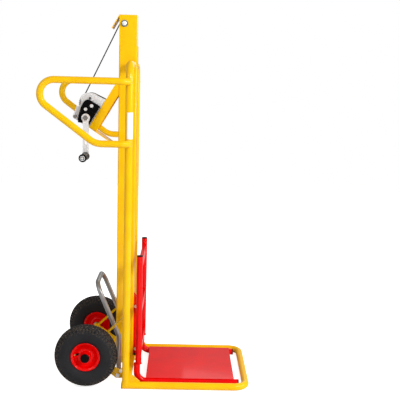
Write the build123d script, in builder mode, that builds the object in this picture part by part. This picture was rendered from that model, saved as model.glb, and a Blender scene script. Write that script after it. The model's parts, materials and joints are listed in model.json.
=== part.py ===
from build123d import *
import os
from math import acos, atan2, cos, hypot, pi, radians, sin, sqrt, tan

os.makedirs("parts", exist_ok=True)

# Lifting sack truck: a tube frame with a central C-section mast, a hand winch behind it
# and a red fork carriage that the rope lifts over a pulley at the mast head.
# Millimetres. +X is the load side, +Y the user's left, +Z up, and the floor is Z = 0.
# The origin is on the floor, under the middle of the whole truck.

# Driving sizes of the welded frame
handle_reach = 355.0        # column axis to the rearmost point of the handles
base_reach = 515.0          # column axis to the front of the base
column_spacing = 471.0
column_d = 30.0
frame_wall = 2.5
column_top = 1340.0
column_bend = 60.0
base_d = 30.0
base_bend = 50.0
base_heel = 13.0            # column axis to the rear end of the base legs
weld_gap = 0.1              # left between welded pieces
running_gap = 0.3           # left between pieces that move past each other
cap_wall = 4.0              # thickness of a plug's visible head

# Mast
mast_depth = 75.0
mast_width = 90.0
mast_wall = 3.0
mast_corner = 6.0
mast_slot = 40.0
mast_proud = 2.0            # mast front ahead of the column fronts
mast_foot = 40.0
mast_top = 1402.0

# Mast head and top pulley
head_height = 125.0
head_setback = 2.5
head_wall = 3.0
flap_back = 32.0
flap_drop = 54.0
pulley_d = 50.0
pulley_width = 16.0
pulley_web = 6.0
pulley_inset = 21.5         # mast rear to the pulley's axis
pulley_height = 90.0        # mast top to the pulley's axis
pulley_bolt_d = 12.0
rope_d = 5.0
groove_depth = 6.5

# Handles
handle_d = 27.0
handle_wall = 2.5
handle_spacing = 556.0
handle_top = 1257.5
handle_low = 1015.3
handle_slope = 36.87        # degrees below level of the sloping run
handle_rear_bend = 55.0
handle_low_bend = 80.0
handle_end_bend = 29.0

# Winch bracket, winch frame and gear train
bracket_top = 1268.0
bracket_angle = 30.7        # degrees from upright
bracket_length = 235.0
bracket_depth = 34.0
bracket_wall = 4.0
brace_drop = 81.0
winch_start = 103.0         # along the bracket
winch_length = 137.0
winch_width = 80.0
winch_wall = 4.0
base_bolts_along = (113.0, 224.0)
base_bolts_apart = 40.0
drum_along = 154.0
drum_out = 50.0
drum_core_d = 50.0
drum_flange_d = 88.0
drum_flange = 2.0
drum_axle_d = 14.0
gear_module = 2.5
gear_pressure = 25.0
drum_teeth = 34
pinion_teeth = 12
gear_width = 8.0
gear_backlash = 0.5
pinion_bearing = -21.0      # degrees, direction from the drum's axis to the crank shaft
wound_d = 74.0              # rope centre line on the drum
crank_shaft_d = 14.0
boss_d = 20.0
cover_depth = 22.0
cover_wall = 2.5
cover_start = 138.0
cover_end = 236.0
cover_out = 71.0
cover_low_out = 56.0
cover_foot = 4.5
cover_bend = 182.0
cover_corner = 18.0
cover_screws = ((154.0, 35.0), (179.0, 49.0))
notch_length = 36.0         # mouth in the top edge of the winch's side plates
notch_width = 30.0
brake_d = 44.0
crank_length = 158.0
crank_width = 24.0
crank_wall = 6.0
crank_hub_d = 35.0
crank_gap = 2.0             # crank arm clear of the cover screws' heads
crank_joggle = 8.0          # the arm steps back by this below its hub
joggle_from = 22.0          # hub centre to the two ends of the step
joggle_to = 40.0
crank_slot_at = 92.0
crank_slot_length = 34.0
crank_slot_width = 8.5
grip_d = 33.0
grip_length = 100.0
grip_pin_d = 10.0

# Wheels
tyre_d = 260.0
tyre_width = 80.0
tyre_wall = 8.0
crown_drop = 12.0           # tread centre to the edge of the tread
tread_depth = 4.2
tread_blocks = 56
tread_grooves = (10.0, 24.0)  # centre lines of the grooves round the tyre
groove_width = 3.0
notch_gap = 5.0             # between two blocks at the tyre's shoulder
tyre_lift = 4.5             # tyre clear of the floor while the truck stands on its base
wheel_spacing = 432.0
wheel_back = 166.0          # column axis to the wheel axis
rim_flange_d = 120.0
rim_bead_d = 104.0
rim_width = 56.0
rim_web = 10.0              # thickness of the pressed web
rim_drop = 6.0              # depth of the rim's dropped centre
rim_wall = 2.5
rim_bend = 1.0
hub_length = 75.0
hub_d = 40.0
bearing_length = 14.0
axle_d = 20.0
axle_fit = 0.05             # radial running clearance of the bearings
cap_d = 37.0
cap_height = 9.0

# Wheel brackets, struts and cross tubes of the frame
plate_wall = 8.0
plate_inset = 8.0           # hub end to bracket plate
plate_width = 34.0
eye_r = 12.0
strut_wall = 6.0
strut_width = 25.0
strut_top = 286.0
strut_clear = 1.2           # bracket eye to the strut's coped foot
cross_d = 20.0
foot_bar = 20.0
foot_bar_height = 64.0
gusset_wall = 6.0
gusset_length = 44.0
gusset_height = 38.0
gusset_edge = 3.0

# Folding stand
stand_d = 20.0
stand_wall = 2.0
stand_inset = 49.5          # bracket plate to the middle of a stand leg
stand_back = 39.0           # column axis to the stand's pivot
stand_pivot = 32.0
stand_knee = 184.0
stand_height = 410.0
stand_lean = 23.0
stand_knee_bend = 60.0
stand_top_bend = 50.0
stand_pin_d = 10.0
side_bolt = (14.0, 20.0)    # stand pivot to the bracket's second bolt

# Carriage
upright_d = 25.0
upright_wall = 2.0
upright_spacing = 374.0
upright_ahead = 49.0        # column axis to the upright's axis
upright_top = 550.0
fork_d = 27.0
fork_wall = 2.5
fork_set = 6.0              # fork stub behind the upright's axis
fork_bend = 40.0
fork_floor_gap = 2.5
fork_reach = 468.0          # column axis to the fork's open end
fork_stub_top = 89.0
crossbar_depth = 15.0
crossbar_height = 30.0
top_crossbar_height = 40.0
crossbar_levels = (115.0, 300.0)
top_crossbar_level = 504.0
load_wall = 2.5
load_flange = 12.0
load_start = 32.0           # upright axis to the load plate
load_length = 371.0

# Runner inside the mast
cheek_wall = 6.0
cheek_gap = 20.0
cheek_top = 365.0
cheek_foot = 48.0
runner_back = 12.0          # cheek metal behind the roller axles
runner_neck = 9.0
pin_head = 2.0
inner_roller_levels = (300.0, 104.0)
inner_roller_width = 20.0
front_roller_d = 30.0
front_roller_level = 66.0
front_roller_width = 20.0
front_roller_start = 22.5   # centre line to the front rollers' inner faces
roller_axle_d = 10.0
runner_bolt_levels = (95.0, 288.0)
runner_bolt_ahead = 8.0     # mast front to the runner bolts
rope_anchor_level = 345.0

# Zinc-plated hex fixings
bolt_d = 8.0
hex_flats = 13.0
hex_height = 6.0
big_hex_flats = 19.0
big_hex_height = 8.0
washer_d = 28.0
washer_wall = 2.5

# Places worked out from the sizes above
column_x = (handle_reach - base_reach) / 2
column_y = column_spacing / 2
column_r = column_d / 2
base_r = base_d / 2
mast_front = column_x + column_r + mast_proud
mast_rear = mast_front - mast_depth
mast_mid = (mast_front + mast_rear) / 2
mast_side = mast_width / 2
head_front = mast_front - head_setback
head_top = mast_top + head_height
pulley_x = mast_rear + pulley_inset
pulley_z = mast_top + pulley_height
rope_r = rope_d / 2
pulley_rope_r = pulley_d / 2 - groove_depth + rope_r
wound_r = wound_d / 2
rope_x = pulley_x + pulley_rope_r
axle_x = column_x - wheel_back
axle_z = tyre_d / 2 + tyre_lift
wheel_y = wheel_spacing / 2
hub_end = wheel_y - hub_length / 2
plate_outer = hub_end - plate_inset
plate_inner = plate_outer - plate_wall
stand_x = column_x - stand_back
stand_y = plate_inner - stand_inset
upright_x = column_x + upright_ahead
upright_y = upright_spacing / 2
fork_x = upright_x - fork_set
fork_z = fork_floor_gap + fork_d / 2
front_roller_x = mast_front + running_gap + front_roller_d / 2
inner_roller_d = mast_depth - 2 * mast_wall - 2 * running_gap
runner_bolt_x = mast_front + runner_bolt_ahead
cheek_inner = cheek_gap / 2
cheek_outer = cheek_inner + cheek_wall
sides = (("left", 1), ("right", -1))

# The winch plane: local x runs down the bracket, local y out from it, local z is +Y
down = Vector(-sin(radians(bracket_angle)), 0, -cos(radians(bracket_angle)))
winch = Plane(origin=(mast_rear, 0, bracket_top), x_dir=down, z_dir=(0, 1, 0))
pinion_distance = gear_module * (drum_teeth + pinion_teeth) / 2
crank_along = drum_along + pinion_distance * cos(radians(pinion_bearing))
crank_out = drum_out + pinion_distance * sin(radians(pinion_bearing))
drum_at = winch.from_local_coords((drum_along, drum_out, 0))
crank_at = winch.from_local_coords((crank_along, crank_out, 0))
frame_side = winch_width / 2
gear_y = -frame_side + winch_wall + 2
cover_face = -frame_side - cover_depth


def keep(builder, name):
    """Label a finished piece and write its STEP file."""
    builder.part.label = name
    export_step(builder.part, f"parts/{name}.step")


def bent_tube(points, radii, outer_d, wall):
    """Round tube along straight runs joined by tangent arcs."""
    with BuildPart() as made:
        with BuildLine() as path:
            FilletPolyline(*points, radius=radii)
        with BuildSketch(Plane(origin=path.line @ 0, z_dir=path.line % 0)):
            Circle(outer_d / 2)
            Circle(outer_d / 2 - wall, mode=Mode.SUBTRACT)
        sweep(path=path.line)
    return made.part


def facing(x, y, z, towards):
    """Plane at a point whose normal is +Y or -Y and whose local y is up."""
    return Plane(origin=(x, y, z), x_dir=(-towards, 0, 0), z_dir=(0, towards, 0))


def side_plane(y):
    """Upright plane at y whose local x and y are global X and Z, with its normal along -Y."""
    return Plane(origin=(0, y, 0), x_dir=(1, 0, 0), z_dir=(0, -1, 0))


def hex_bolt(x, z, head_y, towards, shank, flats, height, d):
    """Hex head standing out of a side face, with its shank running back inwards."""
    with BuildPart() as made:
        with BuildSketch(facing(x, head_y, z, towards)):
            RegularPolygon(flats / 2, 6, major_radius=False)
        extrude(amount=height)
        with BuildSketch(facing(x, head_y, z, -towards)):
            Circle(d / 2)
        extrude(amount=shank)
    return made.part


def disc(x, z, y_from, y_to, d, bore=0.0):
    """Plain disc, washer or sleeve along Y."""
    with BuildPart() as made:
        with BuildSketch(Plane(origin=(x, y_from, z), x_dir=(1, 0, 0), z_dir=(0, 1, 0))):
            Circle(d / 2)
            if bore:
                Circle(bore / 2, mode=Mode.SUBTRACT)
        extrude(amount=y_to - y_from)
    return made.part


def plug(x, y, z, along, tube_d, tube_wall):
    """Push-in end plug: a crowned head outside the tube and a stub inside it."""
    with BuildPart() as made:
        with BuildSketch(Plane(origin=(x, y, z), z_dir=along)):
            Circle(tube_d / 2)
        extrude(amount=cap_wall)
        fillet(made.faces().sort_by(Axis((x, y, z), along))[-1].edges(), cap_wall / 2)
        with BuildSketch(Plane(origin=(x, y, z), z_dir=along)):
            Circle(tube_d / 2 - tube_wall - weld_gap)
        extrude(amount=-2 * cap_wall)
    return made.part


def gear_outline(teeth, first_tooth):
    """Closed outline of an involute gear about the local origin, one tooth at first_tooth degrees."""
    pitch_r = gear_module * teeth / 2
    base_circle = pitch_r * cos(radians(gear_pressure))
    tip_r = pitch_r + gear_module
    root_r = pitch_r - 1.25 * gear_module
    start_r = max(base_circle, root_r)
    pressure = radians(gear_pressure)
    half_at_base = pi / (2 * teeth) - gear_backlash / (2 * pitch_r) + tan(pressure) - pressure

    def flank(r, turn, side):
        roll = acos(min(1.0, base_circle / r))
        angle = turn + side * (half_at_base - (tan(roll) - roll))
        return (r * cos(angle), r * sin(angle))

    with BuildLine() as outline:
        for tooth in range(teeth):
            turn = radians(first_tooth) + 2 * pi * tooth / teeth
            following = turn + 2 * pi / teeth
            rise = [flank(r, turn, -1) for r in (start_r, (start_r + tip_r) / 2, tip_r)]
            fall = [flank(r, turn, 1) for r in (tip_r, (start_r + tip_r) / 2, start_r)]
            foot = atan2(rise[0][1], rise[0][0])
            back = atan2(fall[2][1], fall[2][0])
            nexts = foot + 2 * pi / teeth
            low_a = (root_r * cos(foot), root_r * sin(foot))
            low_b = (root_r * cos(back), root_r * sin(back))
            low_c = (root_r * cos(nexts), root_r * sin(nexts))
            middle = turn + (following - turn) / 2
            if start_r > root_r + 0.01:
                Line(low_a, rise[0])
                Line(fall[2], low_b)
                gap_start, gap_end = low_b, low_c
            else:
                gap_start, gap_end = fall[2], flank(start_r, following, -1)
            ThreePointArc(*rise)
            ThreePointArc(rise[2], (tip_r * cos(turn), tip_r * sin(turn)), fall[0])
            ThreePointArc(*fall)
            ThreePointArc(gap_start, (root_r * cos(middle), root_r * sin(middle)), gap_end)
    return outline.line


# Columns: each rises from the base leg and bends in to the mast's side at the top
for name, side in sides:
    y = side * column_y
    run = [(column_x, y, base_r), (column_x, y, column_top - column_r),
           (column_x, side * (mast_side + weld_gap), column_top - column_r)]
    with BuildPart() as column:
        add(bent_tube(run, [column_bend], column_d, frame_wall))
        with Locations((column_x, y, base_r)):
            Cylinder(base_r + weld_gap, 4 * column_d, rotation=(0, 90, 0), mode=Mode.SUBTRACT)
    keep(column, f"column_{name}")

# Base: a U of tube round the forks, open at the heel
base_rear = column_x - base_heel
base_front = column_x + base_reach - base_r
with BuildPart() as base_frame:
    corners = [(base_rear, -column_y, base_r), (base_front, -column_y, base_r),
               (base_front, column_y, base_r), (base_rear, column_y, base_r)]
    add(bent_tube(corners, [base_bend, base_bend], base_d, frame_wall))
keep(base_frame, "base_frame")

with BuildPart() as base_plugs:
    for name, side in sides:
        add(plug(base_rear, side * column_y, base_r, (-1, 0, 0), base_d, frame_wall))
keep(base_plugs, "base_plugs")

# Heel gussets: webs in the corner between column and base leg
with BuildPart() as heel_gussets:
    for name, side in sides:
        corner_x = column_x + column_r + weld_gap
        corner_z = base_d + weld_gap
        with BuildSketch(side_plane(side * column_y + gusset_wall / 2)):
            with BuildLine():
                Polyline((corner_x, corner_z), (corner_x + gusset_length, corner_z),
                         (corner_x + gusset_length, corner_z + gusset_edge),
                         (corner_x + gusset_edge, corner_z + gusset_height),
                         (corner_x, corner_z + gusset_height), close=True)
            make_face()
        extrude(amount=gusset_wall)
keep(heel_gussets, "heel_gussets")

# Mast: an open C section whose slot faces the load
with BuildPart() as mast:
    with BuildSketch(Plane.XY.offset(mast_foot)):
        with Locations((mast_mid, 0)):
            RectangleRounded(mast_depth, mast_width, mast_corner)
            RectangleRounded(mast_depth - 2 * mast_wall, mast_width - 2 * mast_wall,
                             mast_corner - mast_wall, mode=Mode.SUBTRACT)
        with Locations((mast_front, 0)):
            Rectangle(4 * mast_wall, mast_slot, mode=Mode.SUBTRACT)
    extrude(amount=mast_top - mast_foot)
keep(mast, "mast")

# Mast head: folded sheet with two cheeks, a front web, a top and a sloping rope guard behind
flap_lean = atan2(flap_back, flap_drop)
head_foot = mast_top + weld_gap
with BuildPart() as mast_head:
    with BuildSketch(side_plane(mast_side)):
        with BuildLine():
            flap_end = (mast_rear - flap_back, head_top - flap_drop)
            flap_end_in = (flap_end[0] + head_wall * cos(flap_lean), flap_end[1] - head_wall * sin(flap_lean))
            fold_in = (mast_rear + head_wall * tan((pi / 2 - flap_lean) / 2), head_top - head_wall)
            Polyline((head_front, head_foot), (head_front, head_top), (mast_rear, head_top), flap_end,
                     flap_end_in, fold_in, (head_front - head_wall, head_top - head_wall),
                     (head_front - head_wall, head_foot), close=True)
        make_face()
    extrude(amount=mast_width)
    for name, side in sides:
        with BuildSketch(side_plane(side * mast_side)):
            with Locations(((head_front + mast_rear) / 2, (head_foot + head_top) / 2)):
                Rectangle(head_front - mast_rear, head_top - head_foot)
            with Locations((pulley_x, pulley_z)):
                Circle(pulley_bolt_d / 2 + running_gap, mode=Mode.SUBTRACT)
        extrude(amount=side * head_wall)
keep(mast_head, "mast_head")

# Pulley bolt: bolt, washers, spacer sleeves and nut across the head's cheeks
washer_y = mast_side + washer_wall
with BuildPart() as pulley_bolt:
    add(hex_bolt(pulley_x, pulley_z, -washer_y, -1, 2 * washer_y + big_hex_height,
                 big_hex_flats, big_hex_height, pulley_bolt_d))
    with BuildSketch(facing(pulley_x, washer_y, pulley_z, 1)):
        RegularPolygon(big_hex_flats / 2, 6, major_radius=False)
    extrude(amount=big_hex_height)
    add(disc(pulley_x, pulley_z, -washer_y, -mast_side, washer_d))
    add(disc(pulley_x, pulley_z, mast_side, washer_y, washer_d))
    sleeve_start = pulley_width / 2 + running_gap
    sleeve_end = mast_side - head_wall
    sleeve_d = pulley_bolt_d + 2 * head_wall + 2
    add(disc(pulley_x, pulley_z, sleeve_start, sleeve_end, sleeve_d))
    add(disc(pulley_x, pulley_z, -sleeve_end, -sleeve_start, sleeve_d))
keep(pulley_bolt, "pulley_bolt")

# Top pulley: grooved sheave with a thinned web
with BuildPart() as top_pulley:
    with BuildSketch(Plane(origin=(pulley_x, 0, pulley_z), x_dir=(0, 1, 0), z_dir=(1, 0, 0))):
        bore_r = pulley_bolt_d / 2 + axle_fit
        outer_r = pulley_d / 2
        groove_r = outer_r - groove_depth
        half = pulley_width / 2
        boss_r = bore_r + 4
        with BuildLine():
            Polyline((-half, bore_r), (half, bore_r), (half, boss_r), (pulley_web / 2, boss_r + 1),
                     (pulley_web / 2, groove_r - 3), (half, groove_r - 2), (half, outer_r),
                     (half - 2, outer_r), (rope_r + 0.4, groove_r + rope_r))
            ThreePointArc((rope_r + 0.4, groove_r + rope_r), (0, groove_r),
                          (-rope_r - 0.4, groove_r + rope_r))
            Polyline((-rope_r - 0.4, groove_r + rope_r), (2 - half, outer_r), (-half, outer_r),
                     (-half, groove_r - 2), (-pulley_web / 2, groove_r - 3),
                     (-pulley_web / 2, boss_r + 1), (-half, boss_r), (-half, bore_r))
        make_face()
    revolve(axis=Axis((pulley_x, 0, pulley_z), (0, 1, 0)))
keep(top_pulley, "top_pulley")

# Rope: down the mast to the runner, over the pulley, and down behind to the drum
to_drum_x = drum_at.X - pulley_x
to_drum_z = drum_at.Z - pulley_z
centre_distance = hypot(to_drum_x, to_drum_z)
line_angle = atan2(to_drum_z, to_drum_x)
tangent_angle = line_angle - acos((pulley_rope_r - wound_r) / centre_distance)
leave_pulley = (pulley_x + pulley_rope_r * cos(tangent_angle), 0,
                pulley_z + pulley_rope_r * sin(tangent_angle))
reach_drum = (drum_at.X + wound_r * cos(tangent_angle), 0, drum_at.Z + wound_r * sin(tangent_angle))
over_angle = (tangent_angle % (2 * pi)) / 2
with BuildPart() as rope_over_pulley:
    with BuildLine() as wrap:
        ThreePointArc((rope_x, 0, pulley_z),
                      (pulley_x + pulley_rope_r * cos(over_angle), 0,
                       pulley_z + pulley_rope_r * sin(over_angle)),
                      leave_pulley)
    with BuildSketch(Plane(origin=wrap.line @ 0, z_dir=wrap.line % 0)):
        Circle(rope_r)
    sweep(path=wrap.line)
keep(rope_over_pulley, "rope_over_pulley")

rope_direction = Vector(*reach_drum) - Vector(*leave_pulley)
with BuildPart() as rope_to_drum:
    with BuildSketch(Plane(origin=leave_pulley, z_dir=rope_direction)):
        Circle(rope_r)
    extrude(amount=rope_direction.length)
keep(rope_to_drum, "rope_to_drum")

rope_foot = rope_anchor_level + roller_axle_d / 2
with BuildPart() as rope_in_mast:
    with BuildSketch(Plane(origin=(rope_x, 0, rope_foot))):
        Circle(rope_r)
    extrude(amount=pulley_z - rope_foot)
keep(rope_in_mast, "rope_in_mast")

# Handles: one closed loop of tube each side, turned in to its column at both ends
handle_y = handle_spacing / 2
rear_axis = column_x - handle_reach + handle_d / 2
rear_turn = 180 - handle_slope
rear_corner = rear_axis + handle_rear_bend - handle_rear_bend * tan(radians(rear_turn / 2))
low_corner = rear_corner + (handle_top - handle_low) / tan(radians(handle_slope))
for name, side in sides:
    y = side * handle_y
    run = [(column_x, side * column_y, handle_top), (column_x, y, handle_top), (rear_corner, y, handle_top),
           (low_corner, y, handle_low), (column_x, y, handle_low), (column_x, side * column_y, handle_low)]
    radii = [handle_end_bend, handle_rear_bend, handle_low_bend, handle_end_bend]
    with BuildPart() as handle:
        add(bent_tube(run, radii, handle_d, handle_wall))
        with Locations((column_x, side * column_y, (handle_top + handle_low) / 2)):
            Cylinder(column_r + weld_gap, 2 * handle_reach, mode=Mode.SUBTRACT)
    keep(handle, f"handle_{name}")

# Winch bracket: a channel that leans back from the mast, with its web outwards
base_face = Plane(origin=winch.origin, x_dir=winch.x_dir, z_dir=winch.y_dir)
base_bolt_spots = [(along, across) for along in base_bolts_along
                   for across in (-base_bolts_apart / 2, base_bolts_apart / 2)]
with BuildPart() as winch_bracket:
    with BuildSketch(winch.offset(-mast_side)):
        with Locations((bracket_length / 2 - bracket_depth, -bracket_depth / 2)):
            Rectangle(bracket_length + 2 * bracket_depth, bracket_depth)
    extrude(amount=mast_width)
    with BuildSketch(winch.offset(bracket_wall - mast_side)):
        with Locations((bracket_length / 2 - bracket_depth, -bracket_depth / 2 - bracket_wall)):
            Rectangle(bracket_length + 3 * bracket_depth, bracket_depth)
    extrude(amount=mast_width - 2 * bracket_wall, mode=Mode.SUBTRACT)
    with Locations((mast_rear - weld_gap, 0, bracket_top)):
        Box(4 * mast_depth, 2 * mast_width, 4 * mast_depth, align=(Align.MIN, Align.CENTER, Align.CENTER),
            mode=Mode.SUBTRACT)
    with BuildSketch(base_face):
        with Locations(*base_bolt_spots):
            Circle(bolt_d / 2)
    extrude(amount=-bracket_wall, mode=Mode.SUBTRACT)
keep(winch_bracket, "winch_bracket")

# Brace: flat strip from the bracket's lower end back to the mast
bracket_end = winch.from_local_coords((bracket_length + weld_gap, 0, 0))
brace_x = mast_rear - weld_gap
with BuildPart() as winch_brace:
    with BuildSketch(side_plane(mast_side - bracket_wall)):
        with BuildLine():
            rise = bracket_wall / cos(atan2(brace_drop, brace_x - bracket_end.X))
            Polyline((bracket_end.X, bracket_end.Z), (brace_x, bracket_end.Z - brace_drop),
                     (brace_x, bracket_end.Z - brace_drop - rise), (bracket_end.X, bracket_end.Z - rise),
                     close=True)
        make_face()
    extrude(amount=mast_width - 2 * bracket_wall)
    with BuildSketch(winch.offset(-mast_side)):
        with Locations((bracket_length / 2, -bracket_depth / 2)):
            Rectangle(bracket_length + 2 * weld_gap, 2 * bracket_depth)
    extrude(amount=mast_width, mode=Mode.SUBTRACT)
keep(winch_brace, "winch_brace")

# Winch frame: base strip and two side plates, arched over the drum and notched behind it
corner_r = 10.0
corner_along = winch_start + winch_length - corner_r
corner_out = 73.0
arch_r = drum_flange_d / 2 + 2
notch_centre = drum_along + 20
with BuildPart() as winch_frame:
    for offset in (-frame_side, frame_side - winch_wall):
        with BuildSketch(winch.offset(offset)):
            with BuildLine():
                end_along = winch_start + winch_length
                arch_top = (drum_along, drum_out + arch_r)
                arch_mid = (drum_along - arch_r * cos(pi / 4), drum_out + arch_r * sin(pi / 4))
                Polyline((winch_start, 0), (end_along, 0), (end_along, corner_out))
                RadiusArc((end_along, corner_out), (corner_along, corner_out + corner_r), -corner_r)
                Line((corner_along, corner_out + corner_r), arch_top)
                ThreePointArc(arch_top, arch_mid, (drum_along - arch_r, drum_out))
                Line((drum_along - arch_r, drum_out), (winch_start, 0))
            make_face()
            with Locations((notch_centre, drum_out + arch_r)):
                SlotOverall(notch_length, notch_width, rotation=-10, mode=Mode.SUBTRACT)
            with Locations((drum_along - 21, drum_out + 9)):
                Circle(6, mode=Mode.SUBTRACT)
            with Locations((drum_along, drum_out)):
                Circle(drum_axle_d / 2 + axle_fit, mode=Mode.SUBTRACT)
            with Locations((corner_along, corner_out)):
                Circle(bolt_d / 2 + axle_fit, mode=Mode.SUBTRACT)
            with Locations((crank_along, crank_out)):
                Circle(crank_shaft_d / 2 + axle_fit, mode=Mode.SUBTRACT)
        extrude(amount=winch_wall)
    with BuildSketch(winch.offset(-frame_side)):
        with Locations((winch_start + winch_length / 2, winch_wall / 2)):
            Rectangle(winch_length, winch_wall)
    extrude(amount=winch_width)
    with BuildSketch(base_face):
        with Locations(*base_bolt_spots):
            Circle(bolt_d / 2)
    extrude(amount=winch_wall, mode=Mode.SUBTRACT)
keep(winch_frame, "winch_frame")

# Drum axle, headed at both ends, and the corner tie that keeps the side plates apart
tie_at = winch.from_local_coords((corner_along, corner_out, 0))
with BuildPart() as winch_ties:
    add(hex_bolt(drum_at.X, drum_at.Z, frame_side, 1, winch_width, big_hex_flats, winch_wall, drum_axle_d))
    add(disc(drum_at.X, drum_at.Z, -frame_side - winch_wall, -frame_side, drum_axle_d + 4))
    add(hex_bolt(tie_at.X, tie_at.Z, frame_side, 1, winch_width, hex_flats, hex_height, bolt_d))
    add(hex_bolt(tie_at.X, tie_at.Z, -frame_side, -1, 0.5, hex_flats, hex_height, bolt_d))
    add(disc(tie_at.X, tie_at.Z, winch_wall - frame_side, frame_side - winch_wall, bolt_d + 6))
keep(winch_ties, "winch_ties")

# Drum: core and two flanges, turning on the axle
drum_near = gear_y + gear_width
drum_far = frame_side - winch_wall - 2
with BuildPart() as drum:
    with BuildSketch(Plane(origin=(drum_at.X, 0, drum_at.Z), x_dir=(0, 1, 0), z_dir=(1, 0, 0))):
        core_r = drum_core_d / 2
        flange_r = drum_flange_d / 2
        bore_r = drum_axle_d / 2 + axle_fit
        with BuildLine():
            Polyline((drum_near, bore_r), (drum_far, bore_r), (drum_far, flange_r),
                     (drum_far - drum_flange, flange_r), (drum_far - drum_flange, core_r),
                     (drum_near + drum_flange, core_r), (drum_near + drum_flange, flange_r),
                     (drum_near, flange_r), close=True)
        make_face()
    revolve(axis=Axis((drum_at.X, 0, drum_at.Z), (0, 1, 0)))
keep(drum, "drum")

with BuildPart() as drum_gear:
    with BuildSketch(Plane(origin=(drum_at.X, gear_y, drum_at.Z), x_dir=winch.x_dir, z_dir=(0, 1, 0))):
        make_face(gear_outline(drum_teeth, pinion_bearing).edges())
        Circle(drum_axle_d / 2 + axle_fit, mode=Mode.SUBTRACT)
        with PolarLocations(drum_flange_d / 3.4, 5):
            Circle(drum_axle_d / 2, mode=Mode.SUBTRACT)
    extrude(amount=gear_width)
keep(drum_gear, "drum_gear")

# Rope wound on the drum, under the turn that is being laid on
with BuildPart() as rope_winding:
    wrap_r = wound_r - rope_r - running_gap
    add(disc(drum_at.X, drum_at.Z, drum_near + drum_flange + running_gap,
             drum_far - drum_flange - running_gap, 2 * wrap_r, drum_core_d))
keep(rope_winding, "rope_winding")

# Crank shaft with its pinion, brake disc, crank arm, nut and grip
crank_plane = Plane(origin=(crank_at.X, gear_y, crank_at.Z), x_dir=winch.x_dir, z_dir=(0, 1, 0))
arm_back = cover_face - hex_height - crank_gap
arm_face = arm_back - crank_wall
hub_back = arm_back - crank_joggle
hub_face = hub_back - crank_wall
with BuildPart() as pinion_shaft:
    with BuildSketch(crank_plane):
        make_face(gear_outline(pinion_teeth, 180 + pinion_bearing + 180 / pinion_teeth).edges())
    extrude(amount=gear_width)
    add(disc(crank_at.X, crank_at.Z, hub_face - big_hex_height, frame_side + winch_wall, crank_shaft_d))
    add(disc(crank_at.X, crank_at.Z, hub_back, cover_face + cover_wall, boss_d))
keep(pinion_shaft, "pinion_shaft")

with BuildPart() as brake_disc:
    add(disc(crank_at.X, crank_at.Z, cover_face + cover_wall + 2, -frame_side - 2, brake_d, crank_shaft_d))
keep(brake_disc, "brake_disc")

grip_z = crank_at.Z - crank_length
arm_reach = crank_length + crank_width / 2
with BuildPart() as crank_arm:
    with BuildSketch(Plane(origin=(crank_at.X - crank_hub_d / 2, 0, crank_at.Z), x_dir=(0, 1, 0),
                           z_dir=(1, 0, 0))):
        with BuildLine():
            Polyline((hub_back, crank_hub_d / 2), (hub_back, -joggle_from), (arm_back, -joggle_to),
                     (arm_back, -arm_reach), (arm_face, -arm_reach), (arm_face, -joggle_to),
                     (hub_face, -joggle_from), (hub_face, crank_hub_d / 2), close=True)
        make_face()
    extrude(amount=crank_hub_d)
    with BuildSketch(facing(crank_at.X, hub_face, crank_at.Z, 1)):
        Circle(crank_hub_d / 2)
        with Locations((0, -crank_length / 2)):
            Rectangle(crank_width, crank_length)
        with Locations((0, -crank_length)):
            Circle(crank_width / 2)
        with Locations((0, -crank_slot_at)):
            SlotOverall(crank_slot_length, crank_slot_width, rotation=90, mode=Mode.SUBTRACT)
        Circle(crank_shaft_d / 2, mode=Mode.SUBTRACT)
        with Locations((0, -crank_length)):
            Circle(grip_pin_d / 2, mode=Mode.SUBTRACT)
    extrude(amount=arm_back - hub_face, mode=Mode.INTERSECT)
keep(crank_arm, "crank_arm")

with BuildPart() as crank_nut:
    with BuildSketch(facing(crank_at.X, hub_face, crank_at.Z, -1)):
        RegularPolygon(big_hex_flats / 2, 6, major_radius=False)
        Circle(crank_shaft_d / 2, mode=Mode.SUBTRACT)
    extrude(amount=big_hex_height)
keep(crank_nut, "crank_nut")

grip_start = arm_face - running_gap
grip_end = grip_start - grip_length
with BuildPart() as grip_pin:
    add(disc(crank_at.X, grip_z, grip_end - running_gap, arm_back + 3, grip_pin_d))
    add(disc(crank_at.X, grip_z, grip_end - running_gap - 3, grip_end - running_gap, 0.6 * grip_d))
    add(disc(crank_at.X, grip_z, arm_back, arm_back + 3, 1.6 * grip_pin_d))
keep(grip_pin, "grip_pin")

with BuildPart() as crank_grip:
    with BuildSketch(Plane(origin=(crank_at.X, grip_start, grip_z), x_dir=(0, -1, 0), z_dir=(-1, 0, 0))):
        r = grip_d / 2
        with BuildLine():
            Polyline((0, grip_pin_d / 2 + axle_fit), (0, 0.86 * r))
            ThreePointArc((0, 0.86 * r), (2, r), (6, r))
            Spline((6, r), (0.3 * grip_length, 0.86 * r), (0.7 * grip_length, 0.9 * r), (grip_length - 6, r))
            ThreePointArc((grip_length - 6, r), (grip_length - 2, 0.94 * r), (grip_length, 0.8 * r))
            Polyline((grip_length, 0.8 * r), (grip_length, grip_pin_d / 2 + axle_fit),
                     (0, grip_pin_d / 2 + axle_fit))
        make_face()
    revolve(axis=Axis((crank_at.X, 0, grip_z), (0, 1, 0)))
keep(crank_grip, "crank_grip")

# Cover over the brake: a deep pressed shell whose top falls away towards the crank
cover_back = -frame_side - weld_gap


def cover_outline(inset):
    """Closed outline of the cover in the winch plane, moved inwards by inset."""
    start = cover_start + inset
    end = cover_end - inset
    high = cover_out - inset
    foot = cover_foot + inset
    with BuildLine() as outline:
        round_r = cover_corner - inset
        FilletPolyline((start, foot), (start, high), (cover_bend, high), (end, cover_low_out - inset),
                       (end, foot), radius=[round_r, round_r, cover_corner / 2 - inset])
        Line((end, foot), (start, foot))
    return outline.line


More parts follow.
